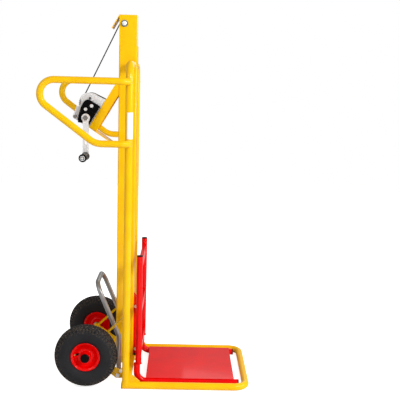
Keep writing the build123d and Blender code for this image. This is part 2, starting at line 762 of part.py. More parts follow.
with BuildPart() as gear_cover:
    with BuildSketch(winch.offset(cover_face)):
        make_face(cover_outline(0).edges())
    extrude(amount=cover_back - cover_face)
    with BuildSketch(winch.offset(cover_face + cover_wall)):
        make_face(cover_outline(cover_wall).edges())
    extrude(amount=cover_depth, mode=Mode.SUBTRACT)
    with BuildSketch(winch.offset(cover_face)):
        with Locations((crank_along, crank_out)):
            Circle(boss_d / 2 + 1)
        with Locations(*cover_screws):
            Circle(bolt_d / 2)
    extrude(amount=cover_wall, mode=Mode.SUBTRACT)
    with BuildSketch(winch.offset(cover_face + cover_depth / 2)):
        with BuildLine():
            Polyline((cover_end - 1, cover_low_out - 26), (cover_end + 8, cover_low_out - 6),
                     (cover_end + 1, cover_low_out - 3), (cover_end - 1, cover_low_out - 12), close=True)
        make_face()
    extrude(amount=winch_wall)
keep(gear_cover, "gear_cover")

# Winch bolts: two cover screws with their posts, and four bolts through base strip and bracket
with BuildPart() as winch_bolts:
    for along, out in cover_screws:
        at = winch.from_local_coords((along, out, 0))
        add(hex_bolt(at.X, at.Z, cover_face, -1, cover_depth, hex_flats, hex_height, bolt_d - 2 * weld_gap))
    for along in base_bolts_along:
        for across in (-base_bolts_apart / 2, base_bolts_apart / 2):
            for out, way in ((winch_wall, 1), (-bracket_wall, -1)):
                head = winch.from_local_coords((along, out, across))
                with BuildSketch(Plane(origin=head, z_dir=way * winch.y_dir)):
                    RegularPolygon(hex_flats / 2, 6, major_radius=False)
                extrude(amount=hex_height)
            with BuildSketch(Plane(origin=head, z_dir=winch.y_dir)):
                Circle(bolt_d / 2 - weld_gap)
            extrude(amount=winch_wall + bracket_wall)
keep(winch_bolts, "winch_bolts")

# Wheels: tyre, rim, web, hub, bearings and hub cap, turning on stub axles. Tyre, rim and web are made once about
# the Z axis, where a sketch on the XZ plane reads (radius, across), and then placed on both sides
bead_r = rim_bead_d / 2
flange_r = rim_flange_d / 2
lip_half = rim_width / 2
half_hub = hub_length / 2
hub_r = hub_d / 2
bearing_r = hub_r - 4
tread_r = tyre_d / 2
bulge = tyre_width / 2
bulge_r = (flange_r + tread_r) / 2
crown_half = 0.85 * bulge
crown_edge = tread_r - crown_drop
crown_r = (crown_half ** 2 + crown_drop ** 2) / (2 * crown_drop)
bead_foot = bead_r + running_gap
bead_half = 0.8 * lip_half


def mirrored(half):
    """A half outline of (radius, across) points followed by its mirror image, back to front."""
    return [*half, *[(r, -a) for r, a in reversed(half)]]


def floor_r(across):
    """Radius of the tread's groove floor at a distance from the tyre's middle."""
    return tread_r - crown_r + sqrt((crown_r - tread_depth) ** 2 - across ** 2)


with BuildPart() as shoulder_notch:
    with BuildSketch(Plane.XZ):
        for way in (-1, 1):
            corners = [(floor_r(tread_grooves[1]), tread_grooves[1]),
                       (crown_edge - tread_depth, 0.92 * crown_half),
                       (bulge_r + 0.4 * (tread_r - bulge_r), 1.1 * bulge),
                       (tread_r, 1.2 * bulge), (1.1 * tread_r, tread_grooves[1])]
            with BuildLine():
                Polyline(*[(r, way * a) for r, a in corners], close=True)
            make_face()
    extrude(amount=notch_gap / 2, both=True)

with BuildPart() as tyre:
    with BuildSketch(Plane.XZ):
        wall_edge = crown_edge - tyre_wall + 3
        wall_half = crown_half - tyre_wall
        ring_foot = (bead_r + tyre_wall, bead_half - 7.4)
        with BuildLine():
            ThreePointArc((flange_r + 2.5, lip_half), (bulge_r, bulge), (crown_edge, crown_half))
            ThreePointArc((crown_edge, crown_half), (tread_r, 0), (crown_edge, -crown_half))
            ThreePointArc((crown_edge, -crown_half), (bulge_r, -bulge), (flange_r + 2.5, -lip_half))
            Polyline((flange_r + 2.5, -lip_half), (flange_r + 0.5, -bead_half), (bead_foot, -bead_half),
                     (bead_foot, -ring_foot[1] + 1), (ring_foot[0], -ring_foot[1]))
            ThreePointArc((ring_foot[0], -ring_foot[1]), (bulge_r, tyre_wall - bulge),
                          (wall_edge, -wall_half))
            ThreePointArc((wall_edge, -wall_half), (tread_r - tyre_wall, 0), (wall_edge, wall_half))
            ThreePointArc((wall_edge, wall_half), (bulge_r, bulge - tyre_wall), ring_foot)
            Polyline(ring_foot, (bead_foot, ring_foot[1] - 1), (bead_foot, bead_half),
                     (flange_r + 0.5, bead_half), (flange_r + 2.5, lip_half))
        make_face()
        for middle in tread_grooves:
            for way in (-1, 1):
                with Locations((floor_r(middle) + tread_depth, way * middle)):
                    Rectangle(2 * tread_depth, groove_width, mode=Mode.SUBTRACT)
    revolve(axis=Axis.Z)
    with PolarLocations(0, tread_blocks):
        add(shoulder_notch.part, mode=Mode.SUBTRACT)

web_edge = bead_r - rim_drop - rim_wall
web_flare = 0.42 * lip_half
with BuildPart() as rim:
    with BuildSketch(Plane.XZ):
        with BuildLine():
            outer = [(flange_r, lip_half), (flange_r - 2, lip_half - 3), (bead_r, lip_half - 5),
                     (bead_r - 1, lip_half - 15), (bead_r - rim_drop, lip_half - 20)]
            inner = [(flange_r - rim_wall, lip_half), (flange_r - 2 * rim_wall, lip_half - 1.5),
                     (bead_r - rim_wall, lip_half - 3.5), (bead_r - 2 * rim_wall, lip_half / 2),
                     (web_edge, web_flare)]
            FilletPolyline(*mirrored(outer), *reversed(mirrored(inner)), radius=rim_bend, close=True)
        make_face()
    revolve(axis=Axis.Z)

with BuildPart() as web:
    with BuildSketch(Plane.XZ):
        with BuildLine():
            half_web = [(hub_r + weld_gap, rim_web), (hub_r + 6, rim_web / 2), (hub_r + 13, rim_web / 2),
                        (web_edge - weld_gap, web_flare)]
            Polyline(*mirrored(half_web), close=True)
        make_face()
    revolve(axis=Axis.Z)

for name, side in sides:
    centre = (axle_x, side * wheel_y, axle_z)
    wheel_place = Plane(origin=centre, x_dir=(1, 0, 0), z_dir=(0, side, 0)).location
    for made, node in ((tyre, "tyre"), (rim, "rim"), (web, "wheel_web")):
        with BuildPart() as placed:
            add(wheel_place * made.part)
        keep(placed, f"{node}_{name}")

    with BuildPart() as hub:
        add(disc(axle_x, axle_z, side * wheel_y - half_hub, side * wheel_y + half_hub, hub_d, 2 * bearing_r))
    keep(hub, f"wheel_hub_{name}")

    with BuildPart() as bearings:
        for end in (-1, 1):
            start = side * wheel_y + end * half_hub
            add(disc(axle_x, axle_z, min(start, start - end * bearing_length),
                     max(start, start - end * bearing_length), 2 * bearing_r, axle_d + 2 * axle_fit))
    keep(bearings, f"wheel_bearings_{name}")

    with BuildPart() as hub_cap:
        cap_base = (axle_x, side * (wheel_y + half_hub + weld_gap), axle_z)
        with BuildSketch(Plane(origin=cap_base, x_dir=(1, 0, 0), z_dir=(0, side, 0))):
            Circle(cap_d / 2)
        extrude(amount=cap_height)
        fillet(hub_cap.faces().sort_by(Axis(cap_base, (0, side, 0)))[-1].edges(), 4)
        with BuildSketch(Plane(origin=cap_base, x_dir=(1, 0, 0), z_dir=(0, side, 0))):
            Circle(cap_d / 2 - 3)
        extrude(amount=cap_height - 3, mode=Mode.SUBTRACT)
    keep(hub_cap, f"hub_cap_{name}")

# Stub axles: round bar through the bracket plate, with a collar between plate and hub
with BuildPart() as stub_axles:
    for name, side in sides:
        inner = side * (plate_inner - 3)
        outer = side * (wheel_y + half_hub + 2)
        add(disc(axle_x, axle_z, min(inner, outer), max(inner, outer), axle_d))
        near = side * (plate_outer + weld_gap)
        far = side * (hub_end - running_gap)
        add(disc(axle_x, axle_z, min(near, far), max(near, far), axle_d + 6))
keep(stub_axles, "stub_axles")

# Foot bars and cross tubes: they tie the columns to the mast and carry the wheel brackets
foot_bar_x = column_x + column_r
cross_x = column_x - column_r / 2
cross_z = strut_top + cross_d / 5
with BuildPart() as cross_members:
    for name, side in sides:
        bar_end = column_y - gusset_wall / 2 - weld_gap
        with Locations((foot_bar_x, side * (mast_side + bar_end) / 2, foot_bar_height)):
            Box(foot_bar, bar_end - mast_side, foot_bar)
        with Locations((cross_x, side * (mast_side + column_y) / 2, cross_z)):
            Cylinder(cross_d / 2, column_y - mast_side, rotation=(90, 0, 0))
        with Locations((column_x, side * column_y, cross_z)):
            Cylinder(column_r + weld_gap, 2 * cross_z, mode=Mode.SUBTRACT)
    with Locations((mast_mid, 0, cross_z)):
        Box(mast_depth + 2 * weld_gap, mast_width + 2 * weld_gap, 2 * cross_z, mode=Mode.SUBTRACT)
keep(cross_members, "cross_members")

# Wheel brackets: one plate each side from the foot bar back to the axle
bracket_front = foot_bar_x - foot_bar / 2 - weld_gap
bracket_low = 20.0
knee_x = stand_x - 7
arm_angle = atan2(axle_z - bracket_low - plate_width / 2, knee_x - axle_x)
arm_side = (eye_r * sin(arm_angle), eye_r * cos(arm_angle))
with BuildPart() as wheel_brackets:
    for name, side in sides:
        with BuildSketch(side_plane(side * plate_outer)):
            with Locations((axle_x, axle_z)):
                Circle(eye_r)
            with BuildLine():
                Polyline((axle_x + arm_side[0], axle_z + arm_side[1]),
                         (knee_x, bracket_low + 1.27 * plate_width),
                         (stand_x + 15, bracket_low + plate_width),
                         (stand_x + 22, foot_bar_height + foot_bar / 2),
                         (bracket_front, foot_bar_height + foot_bar / 2), (bracket_front, bracket_low),
                         (knee_x, bracket_low), (axle_x - arm_side[0], axle_z - arm_side[1]), close=True)
            make_face()
            with Locations((axle_x, axle_z)):
                Circle(axle_d / 2 + weld_gap, mode=Mode.SUBTRACT)
            with Locations((stand_x, stand_pivot)):
                Circle(stand_pin_d / 2 + weld_gap, mode=Mode.SUBTRACT)
            with Locations((stand_x + side_bolt[0], stand_pivot + side_bolt[1])):
                Circle(bolt_d / 2 + weld_gap, mode=Mode.SUBTRACT)
        extrude(amount=side * plate_wall)
keep(wheel_brackets, "wheel_brackets")

# Struts: flat bars from the axle eyes up to the cross tubes
strut_foot = Vector(axle_x, 0, axle_z)
strut_head = Vector(cross_x, 0, cross_z)
strut_run = strut_head - strut_foot
with BuildPart() as axle_struts:
    for name, side in sides:
        start = side * (plate_outer - weld_gap)
        along_strut = Plane(origin=(axle_x, start, axle_z), x_dir=strut_run, z_dir=(0, -side, 0))
        with BuildSketch(along_strut):
            with Locations((strut_run.length / 2, 0)):
                Rectangle(strut_run.length, strut_wall)
        extrude(amount=strut_width)
        with Locations((axle_x, side * plate_inner, axle_z)):
            Cylinder(eye_r + strut_clear, 4 * strut_width, rotation=(90, 0, 0), mode=Mode.SUBTRACT)
        with Locations((cross_x, side * plate_inner, cross_z)):
            Cylinder(cross_d / 2 + weld_gap, 4 * strut_width, rotation=(90, 0, 0), mode=Mode.SUBTRACT)
keep(axle_struts, "axle_struts")

# Folding stand: a U of zinc-plated tube on two pivot pins, with a sleeve at the foot of each leg
sleeve_d = stand_d + 4
sleeve_half = 12.0
stand_top_x = stand_x - (stand_height - stand_knee) * tan(radians(stand_lean))
with BuildPart() as stand_loop:
    leg = [(stand_x, -stand_y, stand_pivot), (stand_x, -stand_y, stand_knee),
           (stand_top_x, -stand_y, stand_height)]
    run = leg + [(x, -y, z) for x, y, z in reversed(leg)]
    bends = [stand_knee_bend, stand_top_bend, stand_top_bend, stand_knee_bend]
    add(bent_tube(run, bends, stand_d, stand_wall))
    for name, side in sides:
        with Locations((stand_x, side * stand_y, stand_pivot)):
            Cylinder(sleeve_d / 2, 2 * sleeve_half, rotation=(90, 0, 0))
            Cylinder(stand_pin_d / 2 + axle_fit, 3 * sleeve_half, rotation=(90, 0, 0), mode=Mode.SUBTRACT)
keep(stand_loop, "stand_loop")

with BuildPart() as stand_pins:
    for name, side in sides:
        add(hex_bolt(stand_x, stand_pivot, side * plate_outer, side, plate_outer - stand_y + sleeve_half + 6,
                     hex_flats + 3, hex_height, stand_pin_d))
        add(hex_bolt(stand_x + side_bolt[0], stand_pivot + side_bolt[1], side * plate_outer, side,
                     2 * plate_wall, hex_flats, hex_height, bolt_d))
        inner = side * (stand_y + sleeve_half + running_gap)
        outer = side * (plate_inner - weld_gap)
        add(disc(stand_x, stand_pivot, min(inner, outer), max(inner, outer), stand_pin_d + 6))
        inner = side * (stand_y - sleeve_half - 5)
        outer = side * (stand_y - sleeve_half - running_gap)
        add(disc(stand_x, stand_pivot, min(inner, outer), max(inner, outer), stand_pin_d + 6))
keep(stand_pins, "stand_pins")

# Carriage: two fork tubes turned up at the heel, and two uprights with crossbars
for name, side in sides:
    y = side * upright_y
    run = [(fork_x, y, fork_stub_top), (fork_x, y, fork_z), (column_x + fork_reach, y, fork_z)]
    with BuildPart() as fork:
        add(bent_tube(run, [fork_bend], fork_d, fork_wall))
        with Locations((fork_x, y, fork_stub_top)):
            Cylinder(fork_d / 2, cap_wall, align=(Align.CENTER, Align.CENTER, Align.MIN))
    keep(fork, f"fork_{name}")

upright_foot = fork_stub_top + cap_wall + weld_gap
upright_r = upright_d / 2
with BuildPart() as carriage_uprights:
    for name, side in sides:
        with BuildSketch(Plane(origin=(upright_x, side * upright_y, upright_foot))):
            Circle(upright_r)
            Circle(upright_r - upright_wall, mode=Mode.SUBTRACT)
        extrude(amount=upright_top - upright_foot)
keep(carriage_uprights, "carriage_uprights")

with BuildPart() as carriage_crossbars:
    bars = [(level, crossbar_height) for level in crossbar_levels]
    bars.append((top_crossbar_level, top_crossbar_height))
    for level, height in bars:
        with Locations((upright_x, 0, level)):
            Box(crossbar_depth, 2 * upright_y, height)
    for name, side in sides:
        with Locations((upright_x, side * upright_y, upright_top / 2)):
            Cylinder(upright_r + weld_gap, 2 * upright_top, mode=Mode.SUBTRACT)
keep(carriage_crossbars, "carriage_crossbars")

with BuildPart() as carriage_plugs:
    for name, side in sides:
        add(plug(upright_x, side * upright_y, upright_top, (0, 0, 1), upright_d, upright_wall))
        add(plug(column_x + fork_reach, side * upright_y, fork_z, (1, 0, 0), fork_d, fork_wall))
keep(carriage_plugs, "carriage_plugs")

# Load plate: sheet on the fork tubes, folded down between them at both ends
plate_x = upright_x + load_start
plate_z = fork_z + fork_d / 2 + weld_gap
with BuildPart() as load_plate:
    with Locations((plate_x, 0, plate_z)):
        Box(load_length, 2 * upright_y + fork_d / 2, load_wall, align=(Align.MIN, Align.CENTER, Align.MIN))
    for x, align in ((plate_x, Align.MIN), (plate_x + load_length, Align.MAX)):
        with Locations((x, 0, plate_z)):
            Box(load_wall, 2 * upright_y - fork_d - 4, load_flange, align=(align, Align.CENTER, Align.MAX))
keep(load_plate, "load_plate")

# Runner: two cheeks that pass through the mast's slot and carry the rollers and the rope pin
crossbar_back = upright_x - crossbar_depth / 2 - weld_gap
roller_back = mast_mid - runner_back
axle_spots = [(mast_mid, level) for level in inner_roller_levels]
axle_spots += [(front_roller_x, front_roller_level), (rope_x, rope_anchor_level)]
bolt_spots = [(runner_bolt_x, level) for level in runner_bolt_levels]
with BuildPart() as runner_cheeks:
    for name, side in sides:
        with BuildSketch(side_plane(side * cheek_outer)):
            with BuildLine():
                Polyline((crossbar_back, cheek_foot), (front_roller_x - runner_neck, cheek_foot),
                         (roller_back, inner_roller_levels[1] - runner_back), (roller_back, cheek_top),
                         (rope_x + runner_back, cheek_top),
                         (crossbar_back, inner_roller_levels[0] + runner_back),
                         close=True)
            make_face()
            with Locations(*axle_spots):
                Circle(roller_axle_d / 2, mode=Mode.SUBTRACT)
            with Locations(*bolt_spots):
                Circle(bolt_d / 2, mode=Mode.SUBTRACT)
        extrude(amount=side * cheek_wall)
keep(runner_cheeks, "runner_cheeks")

# Runner bolts with their spacers, and the pins: roller axles and the rope's anchor
with BuildPart() as runner_bolts:
    for x, z in bolt_spots:
        add(hex_bolt(x, z, cheek_outer, 1, cheek_outer, hex_flats, hex_height, bolt_d - 2 * weld_gap))
        add(hex_bolt(x, z, -cheek_outer, -1, cheek_outer, hex_flats, hex_height, bolt_d - 2 * weld_gap))
        add(disc(x, z, -cheek_inner, cheek_inner, 2 * bolt_d))
keep(runner_bolts, "runner_bolts")

pin_head_d = roller_axle_d + 6
inner_end = cheek_outer + inner_roller_width + 3 * running_gap
front_end = front_roller_start + front_roller_width + running_gap
with BuildPart() as runner_pins:
    for x, z, end in ((mast_mid, inner_roller_levels[0], inner_end),
                      (mast_mid, inner_roller_levels[1], inner_end),
                      (front_roller_x, front_roller_level, front_end)):
        add(disc(x, z, -end, end, roller_axle_d - 2 * weld_gap))
        for side in (-1, 1):
            add(disc(x, z, min(side * end, side * (end + pin_head)), max(side * end, side * (end + pin_head)),
                     pin_head_d))
    for side in (-1, 1):
        start = side * cheek_outer
        add(disc(front_roller_x, front_roller_level, min(start, side * (front_roller_start - running_gap)),
                 max(start, side * (front_roller_start - running_gap)), pin_head_d))
    add(disc(rope_x, rope_anchor_level, -cheek_outer, cheek_outer, roller_axle_d - 2 * weld_gap))
keep(runner_pins, "runner_pins")

# Rollers: two pairs that run inside the mast and one pair on the mast's front lips
roller_sets = (("upper_rollers", mast_mid, inner_roller_levels[0], inner_roller_d, cheek_outer + running_gap,
                inner_roller_width),
               ("lower_rollers", mast_mid, inner_roller_levels[1], inner_roller_d, cheek_outer + running_gap,
                inner_roller_width),
               ("front_rollers", front_roller_x, front_roller_level, front_roller_d, front_roller_start,
                front_roller_width))
for name, x, z, outer_d, start, width in roller_sets:
    with BuildPart() as rollers:
        for side in (-1, 1):
            add(disc(x, z, min(side * start, side * (start + width)), max(side * start, side * (start + width)),
                     outer_d, roller_axle_d + 2 * axle_fit))
        chamfer(rollers.edges().filter_by(GeomType.CIRCLE).filter_by(lambda e: e.radius > outer_d / 3), 1)
    keep(rollers, name)
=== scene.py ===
# %% [markdown]
# # A lifting sack truck
#
# The truck has a yellow tube frame, a mast with a hand winch behind it, and a red fork carriage that a wire
# rope lifts. Its welded frame, wheels, rollers and gears arrive as finished metal pieces, so this lesson
# does what a finishing shop does: it paints and plates them, and it makes what they lack, such as tyre
# treads, rope strands, weld beads, valves and nuts.

# %% Load the frame
import json
from math import acos, atan2, cos, pi, radians, sin

import bpy
import numpy as np
from mathutils import Matrix, Vector


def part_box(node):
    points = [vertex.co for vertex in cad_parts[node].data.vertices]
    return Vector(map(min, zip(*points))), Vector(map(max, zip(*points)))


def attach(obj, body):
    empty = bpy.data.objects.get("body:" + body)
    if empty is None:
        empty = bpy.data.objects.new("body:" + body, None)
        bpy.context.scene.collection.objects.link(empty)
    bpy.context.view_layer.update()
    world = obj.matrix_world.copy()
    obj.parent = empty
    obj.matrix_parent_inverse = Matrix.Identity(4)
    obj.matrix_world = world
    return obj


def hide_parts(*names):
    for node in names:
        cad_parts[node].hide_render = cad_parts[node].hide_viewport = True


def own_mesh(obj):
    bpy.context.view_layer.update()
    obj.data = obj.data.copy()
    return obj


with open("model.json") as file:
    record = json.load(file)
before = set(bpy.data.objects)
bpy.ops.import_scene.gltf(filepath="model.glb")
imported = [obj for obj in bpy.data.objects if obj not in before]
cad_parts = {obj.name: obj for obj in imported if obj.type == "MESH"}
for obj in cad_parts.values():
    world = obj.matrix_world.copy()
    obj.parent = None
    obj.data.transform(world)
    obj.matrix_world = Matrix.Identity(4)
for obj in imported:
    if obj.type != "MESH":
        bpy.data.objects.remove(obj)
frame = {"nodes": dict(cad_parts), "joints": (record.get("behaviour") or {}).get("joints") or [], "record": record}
nodes = frame["nodes"]
joints = {joint["name"]: joint for joint in frame["joints"]}
sides_of_truck = {"left": 1, "right": -1}
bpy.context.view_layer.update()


def box_of(node):
    """Low and high corner of a solid, as arrays."""
    low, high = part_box(node)
    return np.array(low), np.array(high)


def middle_of(node):
    """Centre of a solid's box."""
    low, high = box_of(node)
    return (low + high) / 2


# %% [markdown]
# ## One way to make a surface
#
# Every new piece here is a sheet of points with two parameters, u along the rows and v across them. One
# could add primitives and edit them, but a formula keeps a bead, a tyre and a rope under the same short
# function, and it can be changed with one number. A row or a column can close on itself, and an open tube
# gets flat ends.


# %% The surface helper
def surface(name, points, body, material, loop_u=False, loop_v=False, ends=False):
    """Mesh from an array of shape (rows, columns, 3); neighbours in both directions span each face."""
    rows, columns = points.shape[:2]
    index = np.arange(rows * columns).reshape(rows, columns)
    here = index if loop_u else index[:-1]
    after = np.roll(index, -1, axis=0) if loop_u else index[1:]
    if loop_v:
        corners = (here, after, np.roll(after, -1, axis=1), np.roll(here, -1, axis=1))
    else:
        corners = (here[:, :-1], after[:, :-1], after[:, 1:], here[:, 1:])
    faces = np.stack(corners, axis=-1).reshape(-1, 4).tolist()
    if ends:
        faces.append(index[0].tolist())
        faces.append(index[-1][::-1].tolist())
    mesh = bpy.data.meshes.new(name)
    mesh.from_pydata(points.reshape(-1, 3).tolist(), [], faces)
    mesh.polygons.foreach_set("use_smooth", np.full(len(mesh.polygons), True))
    return piece_from(mesh, name, body, material)


def piece_from(mesh, name, body, material):
    """Object for a mesh, with its material, riding on a body. Faces are turned outwards first."""
    turn_outwards(mesh)
    made = bpy.data.objects.new(name, mesh)
    bpy.context.scene.collection.objects.link(made)
    mesh.materials.append(material)
    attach(made, body)
    return made


def turn_outwards(mesh):
    """Flip the faces where the signed volume, a sum over fans of triangles, comes out negative."""
    mesh.calc_loop_triangles()
    corners = np.empty(3 * len(mesh.loop_triangles), dtype=np.int32)
    mesh.loop_triangles.foreach_get("vertices", corners)
    places = np.empty(3 * len(mesh.vertices))
    mesh.vertices.foreach_get("co", places)
    a, b, c = places.reshape(-1, 3)[corners.reshape(-1, 3)].transpose(1, 0, 2)
    if np.einsum("ij,ij->", a, np.cross(b, c)) < 0:
        mesh.flip_normals()


# %% [markdown]
# ## The camera
#
# The photograph was taken from the truck's right, a little over three metres away and about level with the
# handles, with the lens turned slightly down. A few matching points on the near and far sides of the frame
# were enough to solve for the place, the turn and the focal length. The three turns are kept as angles, and
# the camera's axes are worked out from them.

# %% Place the camera
image_px = 400.0
focal_px = 769.0
sensor_mm = 36.0
turn_right = 0.0259
tilt_down = 0.1516
roll = -0.0277
eye = Vector((0.1284, -3.2717, 1.2613))

forward = Vector((sin(turn_right) * cos(tilt_down), cos(turn_right) * cos(tilt_down), -sin(tilt_down)))
level_right = Vector((cos(turn_right), -sin(turn_right), 0))
level_up = level_right.cross(forward)
right = cos(roll) * level_right - sin(roll) * level_up
up = cos(roll) * level_up + sin(roll) * level_right
camera_data = bpy.data.cameras.new("camera")
camera_data.sensor_width = sensor_mm
camera_data.lens = focal_px / image_px * sensor_mm
camera = bpy.data.objects.new("camera", camera_data)
bpy.context.scene.collection.objects.link(camera)
camera.matrix_world = Matrix.Translation(eye) @ Matrix((right, up, -forward)).transposed().to_4x4()
bpy.context.scene.camera = camera
bpy.context.scene.view_settings.view_transform = "Standard"
print("lens mm:", round(camera_data.lens, 2))

# %% [markdown]
# ## Floor and light
#
# The photograph is a cut-out on white, lit softly from the front. A white world gives the even light, a
# lamp in front on the right adds shape, and weaker ones fill in from the left, the right side and behind.
# The floor and the background only look pure white to the camera: their brightness there comes from Is
# Camera Ray, so the truck isn't flooded with light and its shadow still shows.

# %% Light the set
truck_middle = Vector((0.0, 0.0, 0.7))
sky_lights, sky_looks = 0.36, 1.0
floor_half = 6.0
floor_white, floor_glow = 0.9, 0.8


def area_lamp(name, place, size, watts):
    """Square lamp at a place, turned to face the truck."""
    data = bpy.data.lights.new(name, "AREA")
    data.size = size
    data.energy = watts
    lamp = bpy.data.objects.new(name, data)
    bpy.context.scene.collection.objects.link(lamp)
    lamp.location = place
    lamp.rotation_euler = (truck_middle - Vector(place)).to_track_quat("-Z", "Y").to_euler()


def link(tree, out_node, out_socket, in_node, in_socket):
    """Join two nodes by the names or numbers of their sockets."""
    tree.links.new(out_node.outputs[out_socket], in_node.inputs[in_socket])


world = bpy.data.worlds.new("studio")
bpy.context.scene.world = world
world.use_nodes = True
tree = world.node_tree
tree.nodes.clear()
path = tree.nodes.new("ShaderNodeLightPath")
choice = tree.nodes.new("ShaderNodeMixShader")
world_out = tree.nodes.new("ShaderNodeOutputWorld")
link(tree, path, "Is Camera Ray", choice, "Fac")
for branch, strength in ((1, sky_lights), (2, sky_looks)):
    sky = tree.nodes.new("ShaderNodeBackground")
    sky.inputs["Color"].default_value = (1.0, 1.0, 1.0, 1.0)
    sky.inputs["Strength"].default_value = strength
    link(tree, sky, "Background", choice, branch)
link(tree, choice, "Shader", world_out, "Surface")

area_lamp("key", (2.2, -2.5, 2.4), 1.2, 84.0)
area_lamp("fill", (-2.2, -2.6, 2.2), 2.0, 22.0)
area_lamp("side_light", (2.8, -0.6, 1.6), 1.0, 26.0)
area_lamp("back_light", (1.0, 3.0, 2.4), 2.0, 16.0)

floor_mesh = bpy.data.meshes.new("floor")
floor_corners = [(floor_half * x, floor_half * y, 0) for x, y in ((-1, -1), (1, -1), (1, 1), (-1, 1))]
floor_mesh.from_pydata(floor_corners, [], [(0, 1, 2, 3)])
floor = bpy.data.objects.new("floor", floor_mesh)
bpy.context.scene.collection.objects.link(floor)
floor_paint = bpy.data.materials.new("pale_floor")
floor_paint.use_nodes = True
tree = floor_paint.node_tree
shader = tree.nodes["Principled BSDF"]
shader.inputs["Base Color"].default_value = (floor_white, floor_white, floor_white, 1.0)
shader.inputs["Roughness"].default_value = 0.9
shader.inputs["Specular IOR Level"].default_value = 0.1
glow = tree.nodes.new("ShaderNodeEmission")
glow.inputs["Strength"].default_value = floor_glow
both = tree.nodes.new("ShaderNodeAddShader")
path = tree.nodes.new("ShaderNodeLightPath")
only_camera = tree.nodes.new("ShaderNodeMixShader")
link(tree, shader, "BSDF", only_camera, 1)
link(tree, shader, "BSDF", both, 0)
link(tree, glow, "Emission", both, 1)
link(tree, both, "Shader", only_camera, 2)
link(tree, path, "Is Camera Ray", only_camera, "Fac")
link(tree, only_camera, "Shader", tree.nodes["Material Output"], "Surface")
floor_mesh.materials.append(floor_paint)

# %% [markdown]
# ## Paint and plating
#
# Each finish is one Principled shader fed by a little noise. Powder coat has a fine orange peel in its bump
# and a faint drift in its colour, zinc plate has soft clouds in its roughness, and rubber is dull with
# dust. All patterns read Object coordinates, which are metres here, so a scale of 1000 is about one wave
# for each millimetre.

# %% The finish maker
cloud_scale = 14.0
rough_spread = 0.06
coat_rough = 0.07


def finish(name, colour, rough, metal=0.0, drift=0.05, grain=900.0, bump=0.15, depth=0.0002, coat=0.0,
           shine=0.5, second=None):
    """Material with colour drift, roughness clouds and a fine bump, all from noise in object space."""
    made = bpy.data.materials.new(name)
    made.use_nodes = True
    tree = made.node_tree
    shader = tree.nodes["Principled BSDF"]
    place = tree.nodes.new("ShaderNodeTexCoord")
    clouds = tree.nodes.new("ShaderNodeTexNoise")
    clouds.inputs["Scale"].default_value = cloud_scale
    clouds.inputs["Detail"].default_value = 4.0
    link(tree, place, "Object", clouds, "Vector")
    tint = tree.nodes.new("ShaderNodeValToRGB")
    dark = second if second else tuple(c * (1 - drift) for c in colour)
    tint.color_ramp.elements[0].position = 0.3
    tint.color_ramp.elements[0].color = (*dark, 1.0)
    tint.color_ramp.elements[1].position = 0.7
    tint.color_ramp.elements[1].color = (*colour, 1.0)
    link(tree, clouds, "Fac", tint, "Fac")
    link(tree, tint, "Color", shader, "Base Color")
    rub = tree.nodes.new("ShaderNodeMapRange")
    rub.inputs["To Min"].default_value = max(rough - rough_spread, 0.02)
    rub.inputs["To Max"].default_value = rough + rough_spread
    link(tree, clouds, "Fac", rub, "Value")
    link(tree, rub, "Result", shader, "Roughness")
    shader.inputs["Metallic"].default_value = metal
    shader.inputs["Specular IOR Level"].default_value = shine
    shader.inputs["Coat Weight"].default_value = coat
    shader.inputs["Coat Roughness"].default_value = coat_rough
    fine = tree.nodes.new("ShaderNodeTexNoise")
    fine.inputs["Scale"].default_value = grain
    fine.inputs["Detail"].default_value = 2.0
    link(tree, place, "Object", fine, "Vector")
    raised = tree.nodes.new("ShaderNodeBump")
    raised.inputs["Strength"].default_value = bump
    raised.inputs["Distance"].default_value = depth
    link(tree, fine, "Fac", raised, "Height")
    link(tree, raised, "Normal", shader, "Normal")
    return made


white_zinc = (0.99, 0.995, 1.0)
yellow = finish("yellow_powder_coat", (1.0, 0.585, 0.0), 0.32, grain=420.0, bump=0.1, coat=0.35, shine=0.1,
                second=(0.96, 0.52, 0.0))
red = finish("red_powder_coat", (0.90, 0.0, 0.0), 0.32, grain=420.0, bump=0.1, coat=0.3, shine=0.08,
             second=(0.78, 0.0, 0.0))
zinc = finish("zinc_plate", white_zinc, 0.3, metal=0.18, drift=0.1, grain=700.0, bump=0.1)
dull_zinc = finish("zinc_tube", (0.46, 0.455, 0.45), 0.34, metal=0.8, drift=0.3, grain=500.0, bump=0.12)
steel = finish("machined_steel", (0.5, 0.5, 0.52), 0.3, metal=1.0, drift=0.25, grain=1600.0, bump=0.1)
rope_wire = finish("greased_wire_rope", (0.012, 0.010, 0.009), 0.6, metal=0.1, drift=0.5, grain=1500.0)
rubber = finish("tyre_rubber", (0.019, 0.019, 0.021), 0.7, drift=0.35, grain=1300.0, bump=0.35,
                depth=0.0003, shine=0.25, second=(0.010, 0.010, 0.012))
plastic = finish("black_plastic", (0.002, 0.002, 0.0025), 0.3, drift=0.3, grain=1800.0, bump=0.12, shine=0.1)
slots = {"yellow_paint": yellow, "red_paint": red, "zinc": zinc, "bearing_steel": steel,
         "wire_rope": rope_wire, "tyre": rubber, "black_plastic": plastic}

for part in frame["record"]["subparts"]:
    solid = nodes[part["node"]]
    solid.data.materials.clear()
    solid.data.materials.append(slots[part["material_slot"]])
blue_zinc = finish("blue_passivated_zinc", (0.30, 0.42, 0.47), 0.3, metal=0.8, drift=0.3, grain=900.0,
                   bump=0.1)
for node, special in (("stand_loop", dull_zinc), ("pulley_bolt", blue_zinc), ("winch_ties", steel),
                      ("crank_nut", steel)):
    nodes[node].data.materials[0] = special
print("finishes:", len(slots))
